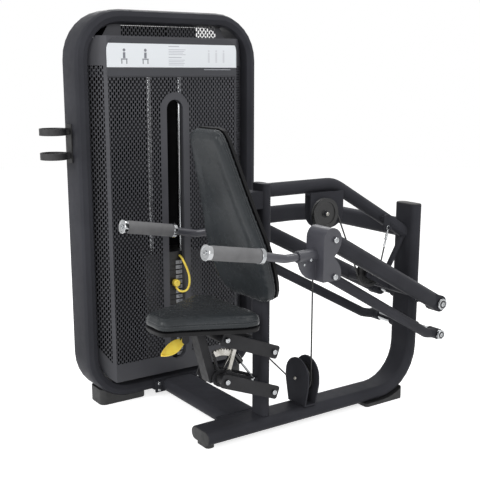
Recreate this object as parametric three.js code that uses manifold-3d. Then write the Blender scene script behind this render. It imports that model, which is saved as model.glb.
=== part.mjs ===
// Seated dip machine: a weight stack tower, an L-shaped side frame with a
// parallelogram press arm on each side, and a seat on a four-bar linkage.
// Millimetres, +Z up. The user faces -X, the tower stands at +Y, and the
// origin is on the floor under the middle of the whole machine.

import * as THREE from 'three';
import { mergeVertices } from 'three/addons/utils/BufferGeometryUtils.js';
import Module from 'manifold-3d';

const wasm = await Module();
wasm.setup();

// General fits
const clearance = 0.3;
const overrun = 12;
const weldTolerance = 0.001;
const sheetThickness = 2;

// Tower hoop: one obround tube bent into an upright rounded rectangle
const towerX = -144;
const towerY = 416;
const hoopWidth = 780;
const hoopBottom = 25;
const hoopTop = 1500;
const hoopDepth = 150;
const hoopTube = 50;
const hoopCorner = 180;
const hoopPadWidth = 220;
const hoopPadDepth = 28;
const tubeFlatShare = 0.06;
const hoopFacets = 4;
const stubOffset = 9;
const stubReach = 74;
const stubHeight = 46;
const stubArmY = 424;
const stubArmDepth = 26;
const stubArmHeight = 26;
const towerFootLength = 196;
const towerFootWidth = 106;
const towerFootInset = 59;
const towerFootTop = 62;
const towerFootRadius = 22;

// Shrouds and placard
const shroudPlane = 330;
const shroudFlat = 556;
const shroudFoldDepth = 55;
const shroudFlange = 25;
const shroudBottom = 95;
const shroudDrop = 95;
const shroudTop = hoopTop - shroudDrop;
const slotWidth = 75;
const slotBottom = 140;
const slotDrop = 228;
const slotTop = shroudTop - slotDrop;
const slotReturn = 24;
const cableSlotWidth = 26;
const cableSlotHeight = 70;
const hoodPlane = 390;
const hoodHalfTop = 240;
const hoodHalfBottom = 268;
const rearPlane = 484;
const rearShroudDrop = 170;
const rearShroudTop = hoopTop - rearShroudDrop;
const rearTabLeft = 256;
const rearTabRight = 190;
const placardHeight = 138;
const placardDrop = 5;
const placardBottom = shroudTop - placardDrop - placardHeight;
const placardWidth = 560;
const placardThickness = 4;
const placardCorner = 46;

// Guide rods, stack and its crossmembers
const guideSpacing = 136;
const guideRadius = 12.5;
const stackBaseHeight = 44;
const stackBaseDepth = 90;
const stackBumperHeight = 22;
const stackBumperRadius = 24;
const stackBottom = 145;
const plateWidth = 260;
const plateDepth = 120;
const platePitch = 20;
const plateCorner = 8;
const plateGroove = 1.5;
const plateGrooveDepth = 3;
const plateCount = 20;
const liftedCount = 5;
const headPlateThickness = 35;
const stemRadius = 11;
const stemLength = 420;
const stemTopHeight = 33;
const rodPlay = 0.5;
const pinRadius = 5;
const pinKnobRadius = 15;
const pinKnobLength = 26;
const pinTabThickness = 3;
const crossmemberDrop = 238;
const crossmemberBottom = hoopTop - crossmemberDrop;
const crossmemberHeight = 32;
const crossmemberDepth = 50;
const cheekThickness = 5;
const cheekGap = 26;
const lanyardRadius = 2.5;
const lanyardHeight = 107;
const lanyardReach = 42;
const lanyardSpread = 50;
const lanyardShares = [
  [0.52, 0.357, 0.944], [0.64, 0.762, 0.701], [0.86, 0.929, 0.374], [0.94, 0.952, 0.065],
  [0.8, 0.929, -0.215], [0.48, 0.81, -0.318], [0.16, 0.619, -0.29],
];

// Bottle holder
const bottleRingOuter = 49;
const bottleRingWall = 4;
const bottleRingHeight = 25;
const bottleRingPitch = 88;
const bottleRingLower = 964;
const bottleRingUpper = bottleRingLower + bottleRingPitch;
const bottlePlateWidth = 50;
const bottlePlateThickness = 5;
const bottlePlateMargin = 14;
const bottlePlateBottom = bottleRingLower - bottlePlateMargin;
const bottlePlateTop = bottleRingUpper + bottleRingHeight + bottlePlateMargin;
const bottleY = 430;
const bottleGap = 11.2;
const bottleTabWidth = 22;
const bottleFloor = 3;

// Side beam and rear post: one obround tube bent into an L
const beamY = -170;
const beamWidth = 116;
const beamTube = 50;
const beamBottom = 14;
const beamFront = -352;
const postX = 617;
const postTop = 775;
const beamBend = 170;
const rearFootFront = 368;
const rearFootLength = 190;
const rearFootWidth = 128;
const rearFootTop = 60;
const frontFootX = -331;
const frontFootLength = 34;
const frontFootWidth = 72;
const footRadius = 12;

// Crossbeam from the tower to the side beam
const crossbeamWidth = 150;
const crossFlangeWidth = 212;
const crossFlangeThickness = 8;
const crossFlangeHeight = 46;
const crossBoltInset = 15;
const boltHeadRadius = 8;
const boltHeadHeight = 6;

// Seat post, top tube, tie tube
const seatPostX = -95;
const seatPostDepth = 35;
const seatPostWidth = 80;
const seatPostTop = 905;
const topTubeRadius = 25;
const topTubeZ = 878;
const topTubeBendX = 224;
const topTubeBend = 120;
const topTubeEndZ = 666;
const stopBarRadius = 11;
const stopBarTopX = 578;
const stopBarTopZ = 632;
const stopGap = 1;
const stopPadRadius = 16;
const stopPadHeight = 14;
const lugWidth = 30;
const lugHeight = 34;
const tieTubeY = 408;
const tieTubeZ = 675;
const tieTubeHeight = 75;
const tieTubeThickness = 42;
const tieTubeBend = 140;

// Pulleys and cables
const pulleyRadius = 57;
const pulleyGroove = 51;
const pulleyWidth = 16;
const pulleyWeb = 8;
const pulleyHubRadius = 14;
const pulleyBoltRadius = 7;
const smallPulleyRadius = 40;
const smallPulleyGroove = 35;
const cablePlaneY = -220;
const cableRadius = 3;
const cableSeatGap = 1.1;
const upperPulleyZ = 783;
const lowerPulleyX = 97;
const lowerPulleyZ = 165;
const lowerCableSlope = 0.315;
const topPulleyGap = 6;
const topPulleyZ = crossmemberBottom + crossmemberHeight + smallPulleyRadius + topPulleyGap;
const hangerPlate = 6;
const hangerWidth = 152;
const hangerBottom = 728;
const hangerTop = 858;
const hangerGapY = 21;
const hangerShift = 17;
const hangerCorner = 58;
const bracketGap = 42;
const bracketHalfWidth = 68;
const bracketTop = 244;
const bracketBase = 6;
const bracketFootHalf = 50;
const bracketShoulderZ = 150;
const anchorX = 462;
const anchorZ = 700;
const anchorLength = 72;
const anchorRadius = 5.5;
const anchorEyeRadius = 9;
const anchorEyeHalf = 6.5;

// Press arms: parallelogram on both sides of the rear post
const armRearZ = 409;
const armFrontX = -29;
const armFrontZ = 748;
const armPivotDrop = 122;
const armRearHalf = 170;
const armEyeOuter = 19;
const armEyeInner = 33;
const armFlatHalf = armRearHalf + armEyeOuter;
const armFrontHalf = 270;
const armTubeRadius = 30;
const armEyeRadius = 32;
const lowerTubeRadius = 19;
const lowerEyeRadius = 21;
const lowerKinkLength = 62;
const lowerKinkDrop = 14;
const lowerKinkBend = 60;
const axleRadius = 12;
const axleCapRadius = 22;
const axleCapHeight = 10;
const lowerCapRadius = 19;
const postCollarRadius = 23;
const postCollarHeight = 8;
const crossTubeRadius = 25;
const crossTubeShift = 150;
const movingPulleyShift = 280;
const yokePlate = 6;
const yokeHeight = 46;
const yokeGap = 2;
const yokeCorner = 14;
const carrierWidth = 90;
const carrierWall = 6;
const carrierFront = -76;
const carrierRear = -1;
const carrierBottom = 612;
const carrierTop = 788;
const carrierWaistX = -32;
const carrierWaistZ = 691;
const carrierPinRadius = 8;
const carrierPinHead = 11;
const carrierHeadHeight = 6;
const armHubRadius = 26;
const lowerHubRadius = 18;

// Handles
const handleZ = 698;
const handleRadius = 14;
const sleeveRadius = 20;
const sleeveFront = -150;
const gussetRadius = 84;
const gussetThickness = 8;
const gripRadius = 23;
const gripBore = 14.6;
const gripRearX = -301;
const gripFrontX = -482;
const gripRise = 31;
const gripLead = 16;
const handleLead = 50;
const handleBend = 60;
const gripRearZ = 720;
const gripCapRadius = 25;
const gripCapLength = 13;
const gripCollarLength = 14;

// Seat linkage
const seatRearUpperZ = 319;
const seatPivotDrop = 149;
const seatReach = 198;
const seatRise = 78;
const linkPlate = 6;
const linkOuterHalf = 80;
const linkHeight = 48;
const linkOverhang = 20;
const linkTieRadius = 9;
const seatBoltRadius = 6;
const seatBoltHead = 10;
const seatBoltHeadHeight = 6;
const seatBossRadius = 17;
const carriageBarWidth = 50;
const carriageBarDepth = 30;
const carriageTopX = -360;
const carriageTopZ = 407;
const carriageFootX = -316;
const carriageFootZ = 250;
const quadrantRadius = 106;
const quadrantThickness = 8;
const quadrantGap = 3;
const quadrantFrom = 58;
const quadrantTo = 108;
const quadrantRim = 24;
const quadrantTeeth = 8;
const quadrantHub = 12;
const toothDepth = 5;
const windowMargin = 6;
const linkCorner = 8;
const seatPlateThickness = 8;
const seatPlateFront = -470;
const seatPlateRear = -240;
const seatPlateHalf = 62;
const latchX = -262;
const latchZ = 264;
const latchThickness = 6;
const latchEarRadius = 13;
const pawlLead = 32;
const pawlWidth = 14;
const pawlGap = 1;
const toothSize = 4;
const leverHalf = 5;
const leverEarWidth = 26;
const leafLength = 98;
const leafWidth = 44;
const leafNeck = 17;
const leafThickness = 8;
const leafDrop = 44;
const leafTipShare = 0.7;
const strutRodLength = 131;
const strutTopX = -262;
const strutTopZ = 380;
const strutFootX = -124;
const strutFootZ = 200;
const strutOuter = 11;
const strutBore = 8.5;
const strutRod = 4;
const strutEye = 9;
const strutEyeHalf = 8;
const strutPinRadius = 4;
const strutBodyStart = 13;
const strutBodyLength = 116;
const strutWall = 10;
const strutEarThickness = 5;
const strutEarGap = 0.6;
const backBracketHalf = 30;
const backBracketHeight = 60;
const backBracketUpperZ = 850;
const backBracketLowerZ = 590;
const leverPivotX = -412;
const leverPivotZ = 398;

// Seat and back pads
const seatTop = 500;
const seatBase = 440;
const seatBoard = 15;
const seatFront = -560;
const seatRear = -172;
const backBottom = 497;
const backTop = 1095;
const backFaceX = -342;
const backFaceZ = 1086;
const backSlope = 0.3057;
const backPad = 36;
const backBoardThickness = 13;
const padCrown = 6;
const padEdge = 14;
const padSeam = 2;
const seatHalfWidth = 195;
const seatWidthShares = [
  [0, 0.16], [0.008, 0.25], [0.035, 0.35], [0.085, 0.415], [0.15, 0.445], [0.356, 0.615], [0.536, 0.77],
  [0.755, 0.96], [0.86, 1], [0.93, 0.985], [0.972, 0.92], [0.993, 0.82], [1, 0.68],
];
const backHalfWidth = 178;
const backWidthShares = [
  [0, 0.45], [0.008, 0.62], [0.03, 0.78], [0.07, 0.89], [0.13, 0.965], [0.22, 1], [0.34, 1], [0.53, 0.85],
  [0.66, 0.755], [0.79, 0.674], [0.93, 0.58], [0.97, 0.54], [0.992, 0.45], [1, 0.32],
];

// Looks: one material for each finish
const finishes = {
  frame: { color: 0x2b2d31, roughness: 0.55, metalness: 0.3 },
  sheet: { color: 0x303238, roughness: 0.6, metalness: 0.3 },
  plastic: { color: 0x17181a, roughness: 0.6, metalness: 0 },
  rubber: { color: 0x3d3e41, roughness: 0.85, metalness: 0 },
  chrome: { color: 0xc9ccd0, roughness: 0.2, metalness: 1 },
  iron: { color: 0x1c1d1f, roughness: 0.5, metalness: 0.4 },
  zinc: { color: 0xb4b2aa, roughness: 0.4, metalness: 0.8 },
  cable: { color: 0x0e0e0f, roughness: 0.5, metalness: 0 },
  yellow: { color: 0xe8b62a, roughness: 0.5, metalness: 0 },
  vinyl: { color: 0x2a2d30, roughness: 0.5, metalness: 0 },
  board: { color: 0x111213, roughness: 0.7, metalness: 0 },
  face: { color: 0xe9ecef, roughness: 0.4, metalness: 0 },
};

const part = new THREE.Group();
const radians = THREE.MathUtils.degToRad;
const at = (x, y, z) => new THREE.Vector3(x, y, z);

// A closed geometry becomes a solid that can be joined and cut
function solidOf(geometry) {
  geometry.deleteAttribute('normal');
  geometry.deleteAttribute('uv');
  const merged = mergeVertices(geometry, weldTolerance);
  const corners = merged.index.array;
  const triangles = [];
  for (let i = 0; i < corners.length; i += 3) {
    const [a, b, c] = corners.slice(i, i + 3);
    if (a !== b && b !== c && c !== a) triangles.push(a, b, c);
  }
  return new wasm.Manifold(new wasm.Mesh({
    numProp: 3,
    vertProperties: merged.attributes.position.array,
    triVerts: Uint32Array.from(triangles),
  }));
}

// A finished solid goes into the part as a named mesh
function addNode(name, solid, finish) {
  const mesh = solid.getMesh();
  const geometry = new THREE.BufferGeometry();
  geometry.setAttribute('position', new THREE.BufferAttribute(mesh.vertProperties, 3));
  geometry.setIndex(new THREE.BufferAttribute(mesh.triVerts, 1));
  geometry.computeVertexNormals();
  const node = new THREE.Mesh(geometry, new THREE.MeshStandardMaterial(finishes[finish]));
  node.name = name;
  part.add(node);
}

const join = (...solids) => solids.reduce((sum, next) => sum.add(next));
const cut = (body, ...tools) => tools.reduce((rest, tool) => rest.subtract(tool), body);

// A box between two limits along each axis
function block([x0, x1], [y0, y1], [z0, z1]) {
  const geometry = new THREE.BoxGeometry(x1 - x0, y1 - y0, z1 - z0);
  geometry.translate((x0 + x1) / 2, (y0 + y1) / 2, (z0 + z1) / 2);
  return solidOf(geometry);
}

// A flat shape given thickness along one axis. Shapes are drawn in the other two axes,
// named in the order x, y, z
const slabBases = {
  x: [at(0, 1, 0), at(0, 0, 1), at(1, 0, 0)],
  y: [at(1, 0, 0), at(0, 0, 1), at(0, -1, 0)],
  z: [at(1, 0, 0), at(0, 1, 0), at(0, 0, 1)],
};
function slab(shape, axis, from, to, curveSegments = 8, bevel = 0, bevelSegments = 2) {
  const geometry = new THREE.ExtrudeGeometry(shape, {
    depth: to - from - 2 * bevel,
    curveSegments,
    bevelEnabled: bevel > 0,
    bevelThickness: bevel,
    bevelSize: bevel,
    bevelOffset: -bevel,
    bevelSegments,
  });
  geometry.translate(0, 0, bevel);
  geometry.applyMatrix4(new THREE.Matrix4().makeBasis(...slabBases[axis]));
  const shift = axis === 'y' ? to : from;
  geometry.translate(axis === 'x' ? shift : 0, axis === 'y' ? shift : 0, axis === 'z' ? shift : 0);
  return solidOf(geometry);
}

// A round bar along one axis; place gives the other two coordinates in the order x, y, z
function bar(axis, radius, from, to, [a, b], sides = 20) {
  const geometry = new THREE.CylinderGeometry(radius, radius, to - from, sides);
  const middle = (from + to) / 2;
  if (axis === 'x') geometry.rotateZ(-Math.PI / 2).translate(middle, a, b);
  if (axis === 'y') geometry.translate(a, middle, b);
  if (axis === 'z') geometry.rotateX(Math.PI / 2).translate(a, b, middle);
  return solidOf(geometry);
}

// A round bore that leaves the clearance on the flats of its facets too
function bore(axis, radius, from, to, place, facets = 10) {
  return bar(axis, (radius + clearance) / Math.cos(Math.PI / facets), from, to, place, facets);
}

// A round bar between two points
function strutBetween(start, end, radius, sides = 16) {
  const direction = end.clone().sub(start);
  const geometry = new THREE.CylinderGeometry(radius, radius, direction.length(), sides);
  const turn = new THREE.Quaternion().setFromUnitVectors(at(0, 1, 0), direction.normalize());
  geometry.applyQuaternion(turn);
  const middle = start.clone().add(end).multiplyScalar(0.5);
  geometry.translate(middle.x, middle.y, middle.z);
  return solidOf(geometry);
}

// A turned piece from a closed profile of [radius, height] pairs, its axis along x, y or z
function turned(profile, axis, centre, sides = 32) {
  const points = profile.map(([radius, height]) => new THREE.Vector2(radius, height));
  const geometry = new THREE.LatheGeometry(points, sides);
  if (axis === 'x') geometry.rotateZ(-Math.PI / 2);
  if (axis === 'z') geometry.rotateX(Math.PI / 2);
  geometry.translate(centre.x, centre.y, centre.z);
  const solid = solidOf(geometry);
  if (solid.volume() < 0) throw new Error('inside out');
  return solid;
}

// A rectangle with round corners, centred on a point
function roundedRect(width, height, radius, [cx, cy] = [0, 0]) {
  const x = width / 2 - radius;
  const y = height / 2 - radius;
  const shape = new THREE.Shape();
  shape.absarc(cx + x, cy - y, radius, -Math.PI / 2, 0);
  shape.absarc(cx + x, cy + y, radius, 0, Math.PI / 2);
  shape.absarc(cx - x, cy + y, radius, Math.PI / 2, Math.PI);
  shape.absarc(cx - x, cy - y, radius, Math.PI, Math.PI * 1.5);
  shape.closePath();
  return shape;
}
const obround = (width, height, place) =>
  roundedRect(width, height, Math.min(width, height) / 2, place);

// A shape whose lower end is flat at base and whose other end is round at tip
function tongue(cx, width, base, tip, radius) {
  const up = Math.sign(tip - base);
  const half = width / 2;
  const shape = new THREE.Shape();
  shape.moveTo(cx - half, base);
  shape.lineTo(cx + half, base);
  shape.absarc(cx + half - radius, tip - up * radius, radius, 0, (up * Math.PI) / 2, up < 0);
  shape.absarc(cx - half + radius, tip - up * radius, radius, (up * Math.PI) / 2, up * Math.PI, up < 0);
  shape.closePath();
  return shape;
}

// A flat link with round ends about two points
function linkShape([ax, az], [bx, bz], radius) {
  const angle = Math.atan2(bz - az, bx - ax);
  const shape = new THREE.Shape();
  shape.absarc(bx, bz, radius, angle - Math.PI / 2, angle + Math.PI / 2);
  shape.absarc(ax, az, radius, angle + Math.PI / 2, angle + Math.PI * 1.5);
  shape.closePath();
  return shape;
}

// A flat link with cut corners about two points, reaching past each by the overhang
function plateShape([ax, az], [bx, bz], height, overhang, corner) {
  const angle = Math.atan2(bz - az, bx - ax);
  const length = Math.hypot(bx - ax, bz - az) + 2 * overhang;
  const middle = new THREE.Vector2((ax + bx) / 2, (az + bz) / 2);
  const points = roundedRect(length, height, corner).getPoints(1);
  return new THREE.Shape(points.map((point) =>
    point.rotateAround(new THREE.Vector2(), angle).add(middle)));
}

// A path that knows the places and directions of the rings of its tube
class StationPath extends THREE.Curve {
  constructor(stations) {
    super();
    this.stations = stations;
    this.steps = stations.length - 1;
  }

  station(share) {
    return this.stations[Math.round(share * this.steps)];
  }

  getPointAt(share) {
    return this.station(share).point.clone();
  }

  getTangentAt(share) {
    return this.station(share).tangent.clone();
  }
}

// Straight runs joined by arcs, with a ring at each end of a straight run and at even
// steps round each arc
function bentPath(corners, bendRadius, arcSteps = 6) {
  const stations = [];
  const last = corners.length - 1;
  corners.forEach((corner, i) => {
    if (i === 0 || i === last) {
      const tangent = i === 0 ? corners[1].clone().sub(corner) : corner.clone().sub(corners[i - 1]);
      stations.push({ point: corner.clone(), tangent: tangent.normalize() });
      return;
    }
    const before = corner.clone().sub(corners[i - 1]).normalize();
    const after = corners[i + 1].clone().sub(corner).normalize();
    const turn = before.angleTo(after);
    const start = corner.clone().addScaledVector(before, -bendRadius * Math.tan(turn / 2));
    const axis = new THREE.Vector3().crossVectors(before, after).normalize();
    const inward = new THREE.Vector3().crossVectors(axis, before);
    const centre = start.clone().addScaledVector(inward, bendRadius);
    for (let step = 0; step <= arcSteps; step += 1) {
      const angle = (turn * step) / arcSteps;
      stations.push({
        point: start.clone().sub(centre).applyAxisAngle(axis, angle).add(centre),
        tangent: before.clone().applyAxisAngle(axis, angle),
      });
    }
  });
  return new StationPath(stations);
}

// The stations of a cable round a pulley, between two angles in the plane of two axes
function wrap(centre, radius, [across, up], fromAngle, toAngle, steps = 8) {
  const sense = Math.sign(toAngle - fromAngle);
  return Array.from({ length: steps + 1 }, (_, step) => {
    const angle = fromAngle + ((toAngle - fromAngle) * step) / steps;
    const spoke = across.clone().multiplyScalar(Math.cos(angle)).addScaledVector(up, Math.sin(angle));
    const tangent = across.clone().multiplyScalar(-Math.sin(angle)).addScaledVector(up, Math.cos(angle));
    return {
      point: centre.clone().addScaledVector(spoke, radius),
      tangent: tangent.multiplyScalar(sense),
    };
  });
}

// A tube of any section along a path
function tubeAlong(path, section, curveSegments = 4) {
  return solidOf(new THREE.ExtrudeGeometry(section, {
    steps: path.steps, extrudePath: path, curveSegments,
  }));
}

// A round tube along a bent path
function roundTube(path, radius, facets) {
  const section = new THREE.Shape(Array.from({ length: facets }, (_, i) =>
    new THREE.Vector2(radius, 0).rotateAround(new THREE.Vector2(), (Math.PI * 2 * i) / facets)));
  return tubeAlong(path, section, 1);
}

// An obround tube along a path in one plane; width lies across that plane
function obroundTube(path, planeNormal, width, depth, curveSegments = 5) {
  const { normals } = path.computeFrenetFrames(path.steps, false);
  const normalAcross = Math.abs(normals[0].dot(planeNormal)) > Math.SQRT1_2;
  const section = normalAcross ? obround(width, depth) : obround(depth, width);
  return tubeAlong(path, section, curveSegments);
}

// Shared places worked out from the sizes above
const sides = [['left', -1], ['right', 1]];
const axisX = at(1, 0, 0);
const axisY = at(0, 1, 0);
const axisZ = at(0, 0, 1);
const around = (centre, half) => [centre - half, centre + half];
const hoopMiddle = (hoopBottom + hoopTop) / 2;
const hoopNear = towerY - hoopDepth / 2;
const hoopInnerLeft = towerX - hoopWidth / 2 + hoopTube;
const hoopInnerRight = towerX + hoopWidth / 2 - hoopTube;
const hoopFloor = hoopBottom + hoopTube;
const beamMiddle = beamBottom + beamTube / 2;
const beamTop = beamBottom + beamTube;
const beamFar = beamY + beamWidth / 2;
const postFront = postX - beamTube / 2;
const armRun = postX - armFrontX;
const armLength = Math.hypot(armRun, armFrontZ - armRearZ);
const armUp = at(-armRun / armLength, 0, (armFrontZ - armRearZ) / armLength);
const armPoint = (shift) => [postX + armUp.x * shift, armRearZ + armUp.z * shift];
const lowerPulleyY = cablePlaneY + pulleyGroove;
const upperPulleyAcross = lowerPulleyX + pulleyGroove;
const towerPulleyY = towerY - smallPulleyGroove;
const outerTopX = lowerPulleyX - smallPulleyGroove;
const innerTopX = towerX + smallPulleyGroove;

// Tower hoop with the pad that the crossbeam bolts to and the stub that carries the
// pulley behind the shroud
function hoopOutline(inset) {
  return roundedRect(hoopWidth - 2 * inset, hoopTop - hoopBottom - 2 * inset,
    hoopCorner - inset, [towerX, hoopMiddle]);
}
const lowerLeave = Math.atan(lowerCableSlope) + Math.PI * 1.5;
const lowerLeavePoint = [
  lowerPulleyY + pulleyGroove * Math.cos(lowerLeave),
  lowerPulleyZ + pulleyGroove * Math.sin(lowerLeave),
];
const towerMeetY = towerPulleyY + smallPulleyGroove * Math.cos(lowerLeave);
const towerPulleyZ = lowerLeavePoint[1] + (towerMeetY - lowerLeavePoint[0]) * lowerCableSlope
  - smallPulleyGroove * Math.sin(lowerLeave);
const stubPlateX = lowerPulleyX + stubOffset;

const hoopRing = hoopOutline(0);
hoopRing.holes.push(hoopOutline(hoopTube));
const hoopBevel = (hoopTube - hoopTube * tubeFlatShare) / 2;
addNode('tower_hoop', join(
  slab(hoopRing, 'y', hoopNear, hoopNear + hoopDepth, hoopFacets, hoopBevel, 2),
  block(around(towerX, hoopPadWidth / 2), [hoopNear, hoopNear + hoopPadDepth],
    [hoopBottom + sheetThickness, hoopFloor - sheetThickness]),
  block([stubPlateX, stubPlateX + hangerPlate], around((towerPulleyY + stubArmY) / 2, stubReach / 2),
    around(towerPulleyZ, stubHeight / 2)),
  block([stubPlateX, hoopInnerRight + overrun], around(stubArmY, stubArmDepth / 2),
    around(towerPulleyZ, stubArmHeight / 2)),
  bar('x', pulleyBoltRadius, lowerPulleyX - pulleyWidth / 2 - boltHeadHeight, stubPlateX + hangerPlate / 2,
    [towerPulleyY, towerPulleyZ]),
  bar('x', boltHeadRadius + clearance, lowerPulleyX - pulleyWidth / 2 - boltHeadHeight,
    lowerPulleyX - pulleyWidth / 2 - clearance, [towerPulleyY, towerPulleyZ], 6),
), 'frame');

// Feet under the hoop, each with its top shaped to the bend of the tube
for (const [side, sign] of sides) {
  const middle = towerX + sign * (hoopWidth / 2 - towerFootInset - towerFootLength / 2);
  const foot = slab(roundedRect(towerFootLength, towerFootWidth, towerFootRadius, [middle, towerY]),
    'z', 0, towerFootTop, 2);
  const hoopSolid = slab(hoopOutline(-clearance), 'y', hoopNear, hoopNear + hoopDepth, hoopFacets);
  addNode(`tower_foot_${side}`, cut(foot, hoopSolid), 'plastic');
}

// Side beam and rear post in one bent tube, with bearing collars for the two axles
function beamTubeSolid(grow, width) {
  const path = bentPath([
    at(beamFront, beamY, beamMiddle), at(postX, beamY, beamMiddle), at(postX, beamY, postTop),
  ], beamBend, 7);
  return obroundTube(path, axisY, width + 2 * grow, beamTube + 2 * grow, 2);
}
const armRearHeights = [armRearZ, armRearZ - armPivotDrop];
const beamPad = block(around(towerX, hoopPadWidth / 2), [beamFar - beamTube / 2, beamFar],
  [beamBottom + sheetThickness, beamTop - sheetThickness]);
const collarHalf = beamWidth / 2 + postCollarHeight;
addNode('side_beam', cut(
  join(beamTubeSolid(0, beamWidth), beamPad, ...armRearHeights.map((z) =>
    bar('y', postCollarRadius, beamY - collarHalf, beamY + collarHalf, [postX, z]))),
  ...armRearHeights.map((z) =>
    bore('y', axleRadius, beamY - beamWidth, beamY + beamWidth, [postX, z], 12)),
), 'frame');

// Feet of the side beam
const rearFoot = slab(
  roundedRect(rearFootLength, rearFootWidth, footRadius, [rearFootFront + rearFootLength / 2, beamY]),
  'z', 0, rearFootTop, 2);
addNode('rear_foot', cut(rearFoot, beamTubeSolid(clearance, beamWidth * 2)), 'plastic');
addNode('front_foot', slab(
  roundedRect(frontFootLength, frontFootWidth, footRadius, [frontFootX, beamY]),
  'z', 0, beamBottom - clearance, 2), 'plastic');

// Crossbeam with a bolted flange at each end
const crossEnds = [beamFar + clearance, hoopNear - clearance];
const crossFlange = (y0, y1) => block(around(towerX, crossFlangeWidth / 2), [y0, y1],
  [beamBottom + sheetThickness, beamBottom + sheetThickness + crossFlangeHeight]);
const crossBoltX = crossFlangeWidth / 2 - crossBoltInset;
const crossBolts = [-1, 1].flatMap((sign) => [
  bar('y', boltHeadRadius, crossEnds[0] + crossFlangeThickness / 2,
    crossEnds[0] + crossFlangeThickness + boltHeadHeight, [towerX + sign * crossBoltX, beamMiddle], 6),
  bar('y', boltHeadRadius, crossEnds[1] - crossFlangeThickness - boltHeadHeight,
    crossEnds[1] - crossFlangeThickness / 2, [towerX + sign * crossBoltX, beamMiddle], 6),
]);
addNode('crossbeam', join(
  slab(obround(crossbeamWidth, beamTube, [towerX, beamMiddle]), 'y', ...crossEnds, 3),
  crossFlange(crossEnds[0], crossEnds[0] + crossFlangeThickness),
  crossFlange(crossEnds[1] - crossFlangeThickness, crossEnds[1]),
  ...crossBolts,
), 'frame');

// Top tube from the seat post to the rear post, with the stop bar of the press arm and
// the lug that holds the end of the arm cable
const postCut = block([postFront - clearance, postX + beamTube], around(beamY, beamWidth),
  [armRearZ, postTop + beamTube]);
const topSlope = (topTubeZ - topTubeEndZ) / (postFront - topTubeBendX);
const seatPostRear = seatPostX + seatPostDepth / 2;
function topTubeSolid(grow) {
  const path = bentPath([
    at(seatPostRear + clearance, beamY, topTubeZ), at(topTubeBendX, beamY, topTubeZ),
    at(postX, beamY, topTubeEndZ - (postX - postFront) * topSlope),
  ], topTubeBend, 4);
  return roundTube(path, topTubeRadius + grow, 14);
}
const [crossX, crossZ] = armPoint(crossTubeShift);
const crossCentre = at(crossX, beamY, crossZ);
const stopTop = at(stopBarTopX, beamY, stopBarTopZ);
const stopDirection = stopTop.clone().sub(crossCentre).normalize();
const stopFoot = crossCentre.clone().addScaledVector(stopDirection, crossTubeRadius + stopGap);
const stopHead = stopTop.clone().addScaledVector(stopDirection, topTubeRadius);
const lugFace = cablePlaneY + anchorEyeHalf + clearance;
addNode('top_tube', cut(join(
  topTubeSolid(0),
  strutBetween(stopFoot, stopHead, stopBarRadius),
  strutBetween(stopFoot, stopFoot.clone().addScaledVector(stopDirection, stopPadHeight), stopPadRadius),
  slab(plateShape([anchorX, anchorZ], [anchorX, anchorZ + lugHeight], lugWidth, lugWidth / 2, lugWidth / 4),
    'y', lugFace, lugFace + hangerPlate),
  block(around(anchorX, lugWidth / 2), [lugFace, beamY - topTubeRadius / 2],
    around(anchorZ + lugHeight, lugWidth / 4)),
  bar('y', strutPinRadius, cablePlaneY - anchorEyeHalf - boltHeadHeight, lugFace + hangerPlate / 2,
    [anchorX, anchorZ]),
  bar('y', strutPinRadius * 2, cablePlaneY - anchorEyeHalf - boltHeadHeight,
    cablePlaneY - anchorEyeHalf - clearance, [anchorX, anchorZ], 6),
), postCut), 'frame');

// Tie tube from the tower's right leg round to the far side of the rear post
const tiePath = bentPath([
  at(hoopInnerRight + hoopTube + clearance, tieTubeY, tieTubeZ), at(postX, tieTubeY, tieTubeZ),
  at(postX, beamFar - beamTube / 2, tieTubeZ),
], tieTubeBend, 6);
addNode('tie_tube', cut(obroundTube(tiePath, axisZ, tieTubeHeight, tieTubeThickness, 2),
  beamTubeSolid(clearance, beamWidth)), 'frame');

// Pads: front plane of the backrest, and how far behind it each layer lies
const backNormalRun = Math.hypot(1, backSlope);
const backPlaneX = (z, depth) => backFaceX + (backFaceZ - z) * backSlope + depth * backNormalRun;
const backDepth = backPad + clearance + backBoardThickness;

// Seat post with the pivots of the seat links, the gas strut's ears and the two brackets
// that the backrest is screwed to
const seatPivots = [seatRearUpperZ, seatRearUpperZ - seatPivotDrop];
const linkInnerHalf = linkOuterHalf - linkPlate;
function seatPivot(x, z) {
  return join(
    bar('y', seatBossRadius, ...around(beamY, linkInnerHalf - clearance), [x, z], 10),
    bar('y', seatBoltRadius, ...around(beamY, linkOuterHalf + seatBoltHeadHeight / 2), [x, z], 8),
    ...[-1, 1].map((sign) => {
      const near = beamY + sign * (linkOuterHalf + clearance);
      const far = beamY + sign * (linkOuterHalf + seatBoltHeadHeight);
      return bar('y', seatBoltHead, Math.min(near, far), Math.max(near, far), [x, z], 6);
    }),
  );
}
function strutEars(rootX, rootZ, x, z) {
  const inner = strutEyeHalf + strutEarGap;
  return join(
    ...[-1, 1].map((sign) => {
      const near = beamY + sign * inner;
      const far = beamY + sign * (inner + strutEarThickness);
      return slab(linkShape([rootX, rootZ], [x, z], strutEye + clearance),
        'y', Math.min(near, far), Math.max(near, far), 2);
    }),
    bar('y', strutPinRadius, ...around(beamY, inner + strutEarThickness / 2), [x, z], 8),
  );
}
function backBracket(z) {
  const shape = new THREE.Shape();
  const top = z + backBracketHeight / 2;
  const foot = z - backBracketHeight / 2;
  shape.moveTo(seatPostX, foot);
  shape.lineTo(seatPostX, top);
  shape.lineTo(backPlaneX(top, backDepth + clearance), top);
  shape.lineTo(backPlaneX(foot, backDepth + clearance), foot);
  return slab(shape, 'y', ...around(beamY, backBracketHalf));
}
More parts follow.
